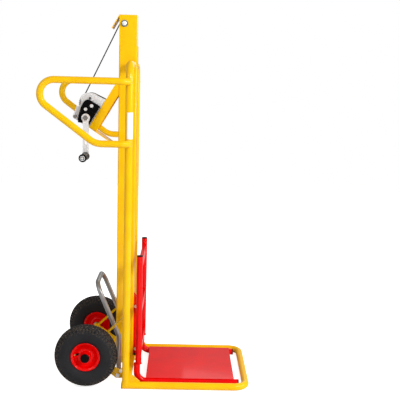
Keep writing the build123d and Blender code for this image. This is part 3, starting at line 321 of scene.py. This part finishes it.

# %% [markdown]
# ## Dust and painted shade
#
# Two finishes depend on where a point lies. A tyre's tread is dusty, so specks of dry earth show where the
# distance from the axle is large. The winch's side plates are bright outside and darker inside, a painted
# shade for the shadow within the winch frame, which a step on the Y coordinate gives. Both mix a second
# colour into the one that the finish already has.

# %% Finishes that depend on place
# The Mix node has sockets for every kind of value, and these are the numbers of its factor and its colours.
factor_in, first_colour_in, second_colour_in, colour_out = 0, 6, 7, 2


def mix_in(made, colour, amount):
    """Mix a colour into a finish by the socket amount, after what its base colour already reads."""
    tree = made.node_tree
    shader = tree.nodes["Principled BSDF"]
    before = shader.inputs["Base Color"].links[0].from_socket
    mix = tree.nodes.new("ShaderNodeMix")
    mix.data_type = "RGBA"
    mix.inputs[second_colour_in].default_value = (*colour, 1.0)
    tree.links.new(amount, mix.inputs[factor_in])
    tree.links.new(before, mix.inputs[first_colour_in])
    tree.links.new(mix.outputs[colour_out], shader.inputs["Base Color"])


def ramp(tree, value, low, high):
    """0 to 1 as a socket's value goes from low to high."""
    made = tree.nodes.new("ShaderNodeMapRange")
    made.inputs["From Min"].default_value = low
    made.inputs["From Max"].default_value = high
    tree.links.new(value, made.inputs["Value"])
    return made.outputs["Result"]


def dusty(made, axle, low, high, colour):
    """Specks of dry earth that come in as the distance from an axle along Y goes from low to high."""
    tree = made.node_tree
    place = tree.nodes.new("ShaderNodeTexCoord")
    flat = tree.nodes.new("ShaderNodeMapping")
    flat.inputs["Location"].default_value = (-axle[0], 0, -axle[2])
    flat.inputs["Scale"].default_value = (1, 0, 1)
    link(tree, place, "Object", flat, "Vector")
    length = tree.nodes.new("ShaderNodeVectorMath")
    length.operation = "LENGTH"
    link(tree, flat, "Vector", length, 0)
    specks = tree.nodes.new("ShaderNodeTexNoise")
    specks.inputs["Scale"].default_value = 210.0
    specks.inputs["Detail"].default_value = 3.0
    link(tree, place, "Object", specks, "Vector")
    both = tree.nodes.new("ShaderNodeMath")
    both.operation = "MULTIPLY"
    tree.links.new(ramp(tree, length.outputs["Value"], low, high), both.inputs[0])
    tree.links.new(ramp(tree, specks.outputs["Fac"], 0.5, 0.72), both.inputs[1])
    mix_in(made, colour, both.outputs[0])


dust_from, dust_full = 0.100, 0.122
dry_earth = (0.17, 0.125, 0.085)
dusty(rubber, joints["wheel_left_spin"]["pos_m"], dust_from, dust_full, dry_earth)

# Painted shade: a dark grey is mixed into the winch plates beyond the near plate's outer face, standing in for the
# shadow inside the frame.
shade_from, shade_full = 0.002, 0.004
painted_shade_grey = (0.06, 0.066, 0.064)
shaded_winch_plate = finish("winch_plate", white_zinc, 0.28, metal=0.1, drift=0.1, grain=700.0, bump=0.1)
tree = shaded_winch_plate.node_tree
place = tree.nodes.new("ShaderNodeTexCoord")
split = tree.nodes.new("ShaderNodeSeparateXYZ")
link(tree, place, "Object", split, "Vector")
plate_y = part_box("winch_frame")[0][1]
mix_in(shaded_winch_plate, painted_shade_grey, ramp(tree, split.outputs["Y"], plate_y + shade_from, plate_y + shade_full))
nodes["winch_frame"].data.materials[0] = shaded_winch_plate

# %% [markdown]
# ## Tyres
#
# A sack truck's tyre is a small pneumatic one: walls with two thin raised rings and a tread of rubber
# blocks. The section is a closed loop of points, and the tread is a depth taken off it wherever a groove
# runs. Grooves run round the tyre, notches cut its shoulders, and slanting cuts part the blocks between the
# grooves. Soft steps shape all of them. One grid then makes walls, blocks and grooves together, and the
# blocks are real relief, not a bump.


# %% Tyre section and tread
def section_points(knots, counts):
    """Points along a chain of knots (across, radius), with a count for each stretch, ends shared."""
    chain = [np.linspace(a, b, n, endpoint=False) for a, b, n in zip(knots[:-1], knots[1:], counts)]
    return np.concatenate(chain + [np.array(knots[-1:])])


def arc_points(start, via, end, count):
    """Circle through three points in the plane, sampled evenly from start to end, the end left out."""
    (x1, y1), (x2, y2), (x3, y3) = start, via, end
    turn = 2 * (x1 * (y2 - y3) + x2 * (y3 - y1) + x3 * (y1 - y2))
    s1, s2, s3 = x1 * x1 + y1 * y1, x2 * x2 + y2 * y2, x3 * x3 + y3 * y3
    cx = (s1 * (y2 - y3) + s2 * (y3 - y1) + s3 * (y1 - y2)) / turn
    cy = (s1 * (x3 - x2) + s2 * (x1 - x3) + s3 * (x2 - x1)) / turn
    a1, a2, a3 = (atan2(y - cy, x - cx) for x, y in (start, via, end))
    if not min(a1, a3) <= a2 <= max(a1, a3):
        a3 += 2 * pi if a3 < a1 else -2 * pi
    angles = np.linspace(a1, a3, count, endpoint=False)
    radius = np.hypot(x1 - cx, y1 - cy)
    return np.stack([cx + radius * np.cos(angles), cy + radius * np.sin(angles)], axis=1)


def mirrored(knot):
    """The same knot on the tyre's other side."""
    return (-knot[0], knot[1])


def soft_step(value, edge, width):
    """0 below the edge and 1 above it, with a smooth ramp of the given width."""
    t = np.clip((value - edge) / width + 0.5, 0, 1)
    return t * t * (3 - 2 * t)


# Knots are (across, radius) pairs, first those of the outside and then those of the hollow within.
tyre_r, tyre_half = 0.130, 0.040
bead_foot, bead_top, wall_foot = (0.0224, 0.0523), (0.0224, 0.0605), (0.028, 0.0625)
widest, shoulder, crown = (tyre_half, 0.090), (0.034, 0.118), (0.0, tyre_r)
inner_foot, inner_edge, inner_widest = (0.014, 0.0523), (0.015, 0.060), (0.032, 0.095)
inner_shoulder, inner_crown = (0.026, 0.113), (0.0, 0.122)
outer = np.concatenate([
    section_points([bead_foot, bead_top, wall_foot], [2, 3]),
    arc_points(wall_foot, widest, shoulder, 22),
    arc_points(shoulder, crown, mirrored(shoulder), 58),
    arc_points(mirrored(shoulder), mirrored(widest), mirrored(wall_foot), 22),
    section_points([mirrored(wall_foot), mirrored(bead_top), mirrored(bead_foot)], [3, 2]),
])
inner = np.concatenate([
    section_points([mirrored(inner_foot), mirrored(inner_edge)], [2]),
    arc_points(mirrored(inner_edge), mirrored(inner_widest), mirrored(inner_shoulder), 6),
    arc_points(mirrored(inner_shoulder), inner_crown, inner_shoulder, 6),
    arc_points(inner_shoulder, inner_widest, inner_edge, 6),
    section_points([inner_edge, inner_foot], [2]),
])
section = np.concatenate([outer, inner])
outside = np.zeros(len(section))
outside[: len(outer)] = 1

# Each raised ring on the wall has a radius, a height and a width.
wall_rings = ((0.073, 0.0012, 0.0016), (0.1045, 0.0007, 0.0012))
ridge = outside * sum(height * np.exp(-((section[:, 1] - at) / width) ** 2)
                      for at, height, width in wall_rings)

lugs = 56
rows_per_lug = 12
groove = 0.0042
groove_edge = 0.0008
inner_groove, outer_groove = (0.0085, 0.0115), (0.0225, 0.0255)
shoulder_notch = (0.0240, 0.0500)
notch_half, centre_half, middle_half = 0.17, 0.13, 0.15
cut_edge = 0.06
pitches_per_metre = 45
tread_from_r, tread_edge = 0.1115, 0.004
lean_from_r, lean_least = 0.085, 0.004
around = np.linspace(0, 2 * pi, lugs * rows_per_lug, endpoint=False)


def band(value, low, high):
    """1 between two edges and 0 outside them."""
    return soft_step(value, low, groove_edge) * (1 - soft_step(value, high, groove_edge))


def cut(phase, half):
    """1 where a phase in pitches lies within half of a whole number, with soft edges."""
    return soft_step(np.abs(phase % 1.0 - 0.5), 0.5 - half, cut_edge)


def tread_depth(across, radius, angle):
    """Depth below the smooth tyre: grooves round it, notches at its shoulders and cuts between blocks."""
    off = np.abs(across)
    phase = angle * lugs / (2 * pi)
    slant = pitches_per_metre * off
    rings = band(off, *inner_groove) + band(off, *outer_groove)
    notches = band(off, *shoulder_notch) * cut(phase, notch_half)
    centre_cuts = (1 - soft_step(off, inner_groove[0], groove_edge)) * cut(phase + slant, centre_half)
    middle_cuts = band(off, inner_groove[1], outer_groove[0]) * cut(phase + 0.5 - slant, middle_half)
    removed = np.clip(rings + notches + centre_cuts + middle_cuts, 0, 1)
    return groove * soft_step(radius, tread_from_r, tread_edge) * removed


across, angle = section[:, 0][None, :], around[:, None]
smooth_radius = section[:, 1][None, :] + 0 * angle
depth = tread_depth(across, smooth_radius, angle) * outside[None, :]
lean = np.arctan2(np.abs(across), np.maximum(section[:, 1] - lean_from_r, lean_least)[None, :])
radius = smooth_radius - depth * np.cos(lean)
off_middle = across + np.sign(across) * (ridge[None, :] - depth * np.sin(lean))
off_middle = np.clip(off_middle + 0 * angle, -tyre_half, tyre_half)
tyre_shape = np.stack([radius * np.cos(angle), off_middle, radius * np.sin(angle)], axis=2)
for side_name in sides_of_truck:
    points = middle_of(f"tyre_{side_name}") + tyre_shape
    tyre = surface(f"tyre_tread_{side_name}", points, f"wheel_{side_name}", rubber, loop_u=True,
                   loop_v=True)
    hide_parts(f"tyre_{side_name}")
print("tyre faces:", len(tyre.data.polygons))

# %% [markdown]
# ## Tubes along a path
#
# Ropes and weld beads are both round tubes that follow a line, so one helper carries a section along it. At
# each point it needs two directions square to the path. A fixed reference direction gives them, which is
# safe here because no rope or bead ever runs along its own reference. The radius may vary along the path
# and round it.


# %% The tube helper
def tube_points(path, radius, reference, sides, loop=False):
    """Rings of points round each path point; radius is a number or an array that fits (points, sides)."""
    if loop:
        along = np.roll(path, -1, axis=0) - np.roll(path, 1, axis=0)
    else:
        along = np.gradient(path, axis=0)
    along /= np.linalg.norm(along, axis=1, keepdims=True)
    first = np.cross(along, reference)
    first /= np.linalg.norm(first, axis=1, keepdims=True)
    second = np.cross(along, first)
    angle = np.linspace(0, 2 * pi, sides, endpoint=False)
    radius = np.broadcast_to(radius, (len(path), sides))[:, :, None]
    ring = np.cos(angle)[None, :, None] * first[:, None] + np.sin(angle)[None, :, None] * second[:, None]
    return path[:, None] + radius * ring


# %% [markdown]
# ## Wire rope
#
# The rope has six strands twisted round a core. Modelling each strand is possible, but the outline is what
# shows, so the tube's radius dips six times round and the dips turn once for each lay length. The rope
# comes up inside the mast, over the sheave and down to the drum. Inside the mast its line is that of the
# solid which it replaces. The rest is worked out from the turning joints: a rope leaves a sheave on the
# common tangent, and the lift's ratios give both radii.

# %% Rope
ratios = {pair["joint"]: pair["ratio"] for pair in frame["record"]["behaviour"]["couplings"]}
rope_r = 0.0025
lay = 0.032
strands = 6
strand_dip = 0.2
rope_sides = 36
rope_step = 0.0025
sheave = np.array(joints["pulley_spin"]["pos_m"])
drum = np.array(joints["drum_spin"]["pos_m"])
sheave_r = 1 / abs(ratios["pulley_spin"])
wound_r = 1 / abs(ratios["drum_spin"])


def rope(name, path, body, start):
    """Six-lobed tube along a path; start is the rope length before it, so that the strands meet."""
    run = start + np.concatenate([[0], np.cumsum(np.linalg.norm(np.diff(path, axis=0), axis=1))])
    angle = np.linspace(0, 2 * pi, rope_sides, endpoint=False)
    lobes = np.abs(np.cos(strands / 2 * (angle[None, :] - 2 * pi * run[:, None] / lay)))
    points = tube_points(path, rope_r * (1 - strand_dip + strand_dip * lobes), (0, 1, 0), rope_sides)
    return surface(name, points, body, rope_wire, loop_v=True, ends=True), run[-1]


def circle_path(centre, radius, angles, shift=0.0):
    """Points round a centre in the X-Z plane, with a steady shift along Y."""
    return np.stack([centre[0] + radius * np.cos(angles), centre[1] + shift * (angles - angles[0]),
                     centre[2] + radius * np.sin(angles)], axis=1)


low, high = box_of("rope_in_mast")
mast_x = (low[0] + high[0]) / 2
heights = np.arange(low[2], high[2], rope_step)
mast_path = np.stack([np.full(len(heights), mast_x), 0 * heights, heights], axis=1)
mast_rope, used = rope("mast_rope", mast_path, "frame", 0.0)
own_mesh(mast_rope)
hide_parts("rope_in_mast")

to_drum = drum - sheave
apart = np.hypot(to_drum[0], to_drum[2])
leaving = atan2(to_drum[2], to_drum[0]) - acos((sheave_r - wound_r) / apart)
over = circle_path(sheave, sheave_r, np.linspace(0, leaving % (2 * pi), 40))
over_rope, used = rope("sheave_rope", over, "frame", used)
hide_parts("rope_over_pulley")

leave = over[-1]
reach = circle_path(drum, wound_r, np.array([leaving]))[0]
steps = int(np.linalg.norm(reach - leave) / rope_step)
down = leave + np.linspace(0, 1, steps)[:, None] * (reach - leave)
drum_rope, used = rope("drum_rope", down, "frame", used)
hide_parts("rope_to_drum")

top_turn_angles = np.linspace(leaving, leaving + 1.9 * pi, 100)
top_turn_shift = 0.0009
_, used = rope("rope_top_turn", circle_path(drum, wound_r, top_turn_angles, top_turn_shift), "drum", used)

low, high = box_of("rope_winding")
layer_r = (high[0] - low[0]) / 2
pitch = 2 * rope_r
cusp = 0.96
across = np.linspace(low[1], high[1], 133)
turn = np.linspace(0, 2 * pi, 96, endpoint=False)
phase = ((across[:, None] - low[1]) / pitch - turn[None, :] / (2 * pi)) % 1.0 * 2 - 1
sag = rope_r * (1 - np.sqrt(1 - np.clip(phase, -cusp, cusp) ** 2))
wound = np.stack([drum[0] + (layer_r - sag) * np.cos(turn), across[:, None] + 0 * sag,
                  drum[2] + (layer_r - sag) * np.sin(turn)], axis=2)
winding = surface("wound_rope", wound, "drum", rope_wire, loop_v=True, ends=True)
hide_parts("rope_winding")
print("rope length mm:", round(used * 1000))

# %% [markdown]
# ## Weld beads
#
# Painted welds are what make a tube frame look made, and they catch the light at every joint. A bead lies
# on the line where two tubes meet. For a round tube that runs into another, that line is a saddle: take a
# circle on the first tube's wall and slide each of its points along that tube until it lands on the second.
# The bead is a small tube on the saddle, and its radius ripples as the weld pool froze.

# %% Saddle lines and beads
line_count = 72
bead_sides = 10


def axes_square_to(normal):
    """Two directions square to one of the main axes and to each other."""
    first = np.roll(np.array(normal, float), 1)
    return first, np.cross(normal, first)


def saddle(on_small, towards, small_r, on_big, big_axis, big_r):
    """Points where the wall of a small tube, sliding along towards, first meets a big tube's wall."""
    towards, big_axis = np.array(towards, float), np.array(big_axis, float)
    other = np.cross(towards, big_axis)
    angle = np.linspace(0, 2 * pi, line_count, endpoint=False)[:, None]
    base = np.array(on_small) + small_r * (np.cos(angle) * big_axis + np.sin(angle) * other)
    off = base - np.array(on_big)
    off -= (off @ big_axis)[:, None] * big_axis
    ahead = off @ towards
    room = np.maximum(ahead ** 2 - np.sum(off ** 2, axis=1) + big_r ** 2, 0)
    return base + (-ahead - np.sqrt(room))[:, None] * towards


def circle_points(centre, normal, radius):
    """Circle square to one of the main axes."""
    u, v = axes_square_to(normal)
    angle = np.linspace(0, 2 * pi, line_count, endpoint=False)[:, None]
    return np.array(centre) + radius * (np.cos(angle) * u + np.sin(angle) * v)


def square_points(centre, normal, half_u, half_v, step=0.002):
    """Closed rectangle square to one of the main axes, sampled about evenly."""
    u, v = axes_square_to(normal)
    corners = [half_u * a * u + half_v * b * v for a, b in ((1, 1), (-1, 1), (-1, -1), (1, -1))]
    sides = []
    for a, b in zip(corners, corners[1:] + corners[:1]):
        count = max(int(np.linalg.norm(b - a) / step), 2)
        sides.append(a + np.linspace(0, 1, count, endpoint=False)[:, None] * (b - a))
    return np.array(centre) + np.concatenate(sides)


def ripple(count, height):
    """Factors for a bead's radius, which swells once in every three points."""
    return 1 + height * np.sin(np.arange(count) * 2 * pi / 3.0)


def bead(name, line, reference, body, paint, slot, size=0.0026):
    """Closed rippled tube along a line of points."""
    radius = size * ripple(len(line), 0.16)[:, None]
    points = tube_points(line, radius, reference, bead_sides, loop=True)
    return surface(name, points, body, paint, loop_u=True, loop_v=True)


def seam(name, start, end, reference, body, paint, slot, size=0.002, step=0.001):
    """Rippled bead along a straight line, thin at both ends."""
    start, end = np.array(start, float), np.array(end, float)
    count = max(int(np.linalg.norm(end - start) / step), 6)
    t = np.linspace(0, 1, count)
    taper = np.minimum(1, 0.3 + 12 * np.minimum(t, 1 - t))
    radius = size * (ripple(count, 0.14) * taper)[:, None]
    points = tube_points(start + t[:, None] * (end - start), radius, reference, bead_sides)
    return surface(name, points, body, paint, loop_v=True, ends=True)


# %% [markdown]
# The lines of the beads come from the solids' boxes and from the radii of the tubes. Each side of the truck
# has the same ones: at the handle, the column's top and foot, the cross tube, the foot bar, the gusset and
# the wheel's plate.

# %% Beads on the frame
column_r, handle_r, base_r, cross_r = 0.015, 0.0135, 0.015, 0.010
foot_half, gusset_half, plate_half = 0.010, 0.003, 0.004
# A bead's line lies a little within a tube's wall, and a seam's a little off a plate's face.
line_gap = 0.0005
inset = 0.001
corner_cut = 0.004
foot_seam_z, rise_from_z = 2 * base_r - 0.0002, 2 * base_r + inset
bracket_seam_half, brace_seam_half = 0.043, 0.040
# A saddle's circle starts on its tube, this far from the column, the floor or the truck's middle.
handle_start, foot_start, cross_start = 0.05, 0.08, 0.12
x_axis, y_axis, z_axis = (1, 0, 0), (0, 1, 0), (0, 0, 1)
on_frame = ("frame", yellow, "yellow_paint")
on_carriage = ("carriage", red, "red_paint")

mast_low, mast_high = box_of("mast")
mast_mid, mast_half = (mast_low + mast_high) / 2, (mast_high - mast_low) / 2
column_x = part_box("column_left")[1][0] - column_r
cross_low, cross_high = box_of("cross_members")
cross_x, cross_z = cross_low[0] + cross_r, cross_high[2] - cross_r
foot_x, foot_z = cross_high[0] - foot_half, cross_low[2] + foot_half
gusset_high = box_of("heel_gussets")[1]
plate_high = box_of("wheel_brackets")[1]
for side_name, side in sides_of_truck.items():
    handle_low, handle_high = box_of(f"handle_{side_name}")
    column_low, column_high = box_of(f"column_{side_name}")
    column_y = side * (np.max(np.abs([column_low[1], column_high[1]])) - column_r)
    column_foot = (column_x, column_y, 0)
    for end, height in (("top", handle_high[2] - handle_r), ("low", handle_low[2] + handle_r)):
        line = saddle((column_x, column_y + side * handle_start, height), (0, -side, 0), handle_r - line_gap,
                      column_foot, z_axis, column_r)
        bead(f"handle_bead_{end}_{side_name}", line, y_axis, *on_frame)
    line = saddle((column_x, column_y, foot_start), (0, 0, -1), column_r - line_gap,
                  (column_x, column_y, base_r), x_axis, base_r)
    bead(f"heel_bead_{side_name}", line, z_axis, *on_frame)
    line = circle_points((column_x, side * mast_high[1], column_high[2] - column_r), y_axis, column_r)
    bead(f"mast_bead_{side_name}", line, y_axis, *on_frame, size=0.003)
    line = saddle((cross_x, side * cross_start, cross_z), (0, side, 0), cross_r - line_gap,
                  column_foot, z_axis, column_r)
    bead(f"cross_bead_{side_name}", line, y_axis, *on_frame, size=0.0022)
    line = circle_points((cross_x, side * mast_high[1], cross_z), y_axis, cross_r)
    bead(f"cross_bead_mast_{side_name}", line, y_axis, *on_frame, size=0.0022)
    for end, y in (("mast", mast_high[1]), ("heel", gusset_high[1] - 2 * gusset_half)):
        line = square_points((foot_x, side * y, foot_z), y_axis, foot_half, foot_half)
        bead(f"foot_bead_{end}_{side_name}", line, y_axis, *on_frame, size=0.0018)
    for face in (-1, 1):
        y = column_y + face * (gusset_half + line_gap)
        near_x, far_x = column_x + column_r, gusset_high[0] - corner_cut
        seam(f"gusset_seam_{side_name}_{face}", (near_x, y, foot_seam_z), (far_x, y, foot_seam_z), z_axis,
             *on_frame)
        seam(f"gusset_rise_{side_name}_{face}", (near_x, y, rise_from_z),
             (near_x, y, gusset_high[2] - corner_cut), y_axis, *on_frame)
    y = side * (plate_high[1] - plate_half)
    seam(f"plate_seam_{side_name}", (plate_high[0], y, foot_z - foot_half + inset),
         (plate_high[0], y, foot_z + foot_half - inset), y_axis, *on_frame, size=0.0026)

line = square_points((mast_mid[0], 0, mast_high[2]), z_axis, mast_half[0] - inset, mast_half[1] - inset)
bead("mast_seam", line, z_axis, *on_frame, size=0.0013)
back_x = mast_low[0]
bracket_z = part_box("winch_bracket")[1][2] - inset
seam("bracket_seam", (back_x, -bracket_seam_half, bracket_z), (back_x, bracket_seam_half, bracket_z), z_axis,
     *on_frame, size=0.003)
brace_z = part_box("winch_brace")[0][2] + 0.002
seam("brace_seam", (back_x, -brace_seam_half, brace_z), (back_x, brace_seam_half, brace_z), z_axis,
     *on_frame, size=0.0025)

# %% Beads on the carriage
# Each crossbar has the height of its middle and half its depth.
crossbars = ((0.115, 0.015), (0.300, 0.015), (0.504, 0.020))
bars_low, bars_high = box_of("carriage_crossbars")
uprights_low, uprights_high = box_of("carriage_uprights")
upright_x = (bars_low[0] + bars_high[0]) / 2
upright_r = uprights_high[0] - upright_x
upright_y = uprights_high[1] - upright_r
for side_name, side in sides_of_truck.items():
    for height, half in crossbars:
        line = square_points((upright_x, side * (upright_y - upright_r), height), y_axis, half,
                             bars_high[0] - upright_x)
        bead(f"crossbar_bead_{round(height * 1000)}_{side_name}", line, y_axis, *on_carriage, size=0.002)
    line = circle_points((upright_x, side * upright_y, uprights_low[2]), z_axis, upright_r)
    bead(f"stub_bead_{side_name}", line, z_axis, *on_carriage, size=0.0024)

# %% [markdown]
# ## Pressed rims and valves
#
# The rim is pressed from sheet: rolled lips, a dropped centre for the tyre and a dished web down to the
# hub. A profile of a few corners says all that, and cutting each corner twice, about a fifth of the way in
# from both ends, rounds it the way a press tool does. Turning the rounded profile about the axle makes the
# rim. A rubber valve with a brass tip leans out of the dish.


# %% Rims
def rounded(points, share=0.22, passes=2):
    """Corner cutting on a closed outline: in each pass an edge loses a share of its length at both ends."""
    points = np.array(points, float)
    for _ in range(passes):
        following = np.roll(points, -1, axis=0)
        points = np.stack([(1 - share) * points + share * following,
                           share * points + (1 - share) * following], axis=1).reshape(-1, 2)
    return points


def turned(name, centre, profile, body, material, steps=96):
    """A closed profile of (across, radius) pairs turned about an axle along Y."""
    angle = np.linspace(0, 2 * pi, steps, endpoint=False)[:, None]
    across, radius = profile[:, 0][None, :], profile[:, 1][None, :]
    points = np.stack([centre[0] + radius * np.cos(angle), centre[1] + across + 0 * angle,
                       centre[2] + radius * np.sin(angle)], axis=2)
    return surface(name, points, body, material, loop_u=True, loop_v=True)


def leaning(name, start, direction, rings, body, material, steps=24):
    """Solid turned about a slanted line; rings are (distance along it, radius), closed at both ends."""
    direction = np.array(direction, float) / np.linalg.norm(direction)
    across = np.cross(direction, (0, 0, 1))
    across /= np.linalg.norm(across)
    other = np.cross(direction, across)
    angle = np.linspace(0, 2 * pi, steps, endpoint=False)[None, :, None]
    along = np.array([ring[0] for ring in rings])[:, None, None]
    radius = np.array([ring[1] for ring in rings])[:, None, None]
    points = np.array(start) + along * direction + radius * (np.cos(angle) * across + np.sin(angle) * other)
    return surface(name, points, body, material, loop_v=True, ends=True)


hub_half, hub_r, bore_r, lip_r = 0.0375, 0.0200, 0.0160, 0.060
half_rim = [(hub_half, hub_r), (0.0100, hub_r), (0.0065, 0.0215), (0.0045, 0.0270), (0.0050, 0.0330),
            (0.0100, 0.0425), (0.0140, 0.0470), (0.0235, 0.0490), (0.0262, 0.0555), (0.0279, 0.0570),
            (0.0279, lip_r), (0.0255, lip_r), (0.0232, 0.0525), (0.0222, 0.0517), (0.0125, 0.0510),
            (0.0085, 0.0462)]
other_half = [(-across, radius) for across, radius in reversed(half_rim)]
rim_profile = rounded(half_rim + other_half + [(-hub_half, bore_r), (hub_half, bore_r)])

valve_turn = radians(171)
valve_r, valve_out = 0.0335, 0.004
along_spoke, along_axle = 0.5, 0.87
valve_rubber = [(0, 0.0052), (0.003, 0.0052), (0.005, 0.0036), (0.012, 0.0034), (0.0125, 0.0030)]
valve_brass = [(0.012, 0.0026), (0.0165, 0.0026), (0.017, 0.0034), (0.023, 0.0034), (0.0245, 0.0026)]
spoke = np.array([cos(valve_turn), 0, sin(valve_turn)])
brass = finish("valve_brass", (0.72, 0.5, 0.2), 0.3, metal=1.0, drift=0.2, grain=1500.0)
for side_name, side in sides_of_truck.items():
    centre = middle_of(f"tyre_{side_name}")
    wheel = f"wheel_{side_name}"
    rim = turned(f"pressed_rim_{side_name}", centre, rim_profile, wheel, red)
    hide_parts(f"rim_{side_name}", f"wheel_web_{side_name}", f"wheel_hub_{side_name}")
    outwards = np.array([0, side, 0])
    root = centre + valve_r * spoke + valve_out * outwards
    way = along_spoke * spoke + along_axle * outwards
    leaning(f"valve_stem_{side_name}", root, way, valve_rubber, wheel, plastic)
    leaning(f"valve_tip_{side_name}", root, way, valve_brass, wheel, brass)
print("points in the rim's profile:", len(rim_profile))

# %% [markdown]
# ## Small fittings and edges
#
# The grip ends in a dark washer with a small bright bolt, and the sheave's bolt has a bright crowned nut at
# each end. Real plates and bars have no sharp edges, so the flat pieces get a bevel of half a millimetre,
# which is what catches the light along an edge.

# %% Fittings and bevels
grip_x, _, grip_z = joints["grip_spin"]["pos_m"]
grip_end = (grip_x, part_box("grip_pin")[0][1], grip_z)
washer = [(-0.0005, 0.0068), (0.0010, 0.0068), (0.0012, 0.0064)]
bolt_head = [(0.0010, 0.0050), (0.0026, 0.0050), (0.0032, 0.0042), (0.0032, 0.0024), (0.0020, 0.0022)]
leaning("grip_washer", grip_end, (0, -1, 0), washer, "crank", plastic)
leaning("grip_bolt", grip_end, (0, -1, 0), bolt_head, "crank", zinc, steps=6)

crowned_nut = [(0, 0.0102), (0.0052, 0.0102), (0.0062, 0.0086), (0.0062, 0.0050), (0.0080, 0.0046),
               (0.0084, 0.0036)]
nut_seat = 0.0045
bolt_low, bolt_high = box_of("pulley_bolt")
for side_name, y, way in (("right", bolt_low[1], -1), ("left", bolt_high[1], 1)):
    leaning(f"sheave_nut_{side_name}", (sheave[0], y - way * nut_seat, sheave[2]), (0, way, 0), crowned_nut,
            "frame", zinc, steps=6)

bevel_width, bevel_from_deg = 0.0005, 40
for node in ("mast", "mast_head", "winch_bracket", "winch_brace", "winch_frame", "wheel_brackets",
             "axle_struts", "cross_members", "heel_gussets", "load_plate", "carriage_crossbars",
             "runner_cheeks", "crank_arm", "crank_nut", "winch_bolts", "winch_ties", "stand_pins",
             "runner_bolts", "gear_cover"):
    join = nodes[node].modifiers.new("join", "WELD")
    join.merge_threshold = 0.00002
    edge = nodes[node].modifiers.new("edge", "BEVEL")
    edge.width = bevel_width
    edge.segments = 2
    edge.limit_method = "ANGLE"
    edge.angle_limit = radians(bevel_from_deg)
    edge.harden_normals = True
print("bevelled pieces:", sum("edge" in o.modifiers for o in nodes.values()))

# %% [markdown]
# ## A blank label
#
# A pale label is stuck round the near column below the handle. It is a strip of a slightly larger cylinder,
# a quarter of a millimetre proud, with nothing printed on it. The photograph shows where it lies and how
# tall it is.

# %% Label
label_low, label_high = 1.033, 1.138
label_r, label_thick = column_r + 0.00015, 0.0001
label_from_deg, label_to_deg = -118, 22
paper = finish("bare_label", (0.95, 0.95, 0.94), 0.35, drift=0.04, grain=700.0, bump=0.04)
turn = np.radians(np.linspace(label_from_deg, label_to_deg, 40))[None, :]
tall = np.linspace(label_low, label_high, 24)[:, None]
column_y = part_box("column_right")[0][1] + column_r
patch = np.stack([column_x + label_r * np.cos(turn) + 0 * tall, column_y + label_r * np.sin(turn) + 0 * tall,
                  tall + 0 * turn], axis=2)
label = surface("blank_label", patch, "frame", paper)
thick = label.modifiers.new("thickness", "SOLIDIFY")
thick.thickness = label_thick
thick.offset = 1
print("label mm tall:", round((label_high - label_low) * 1000))
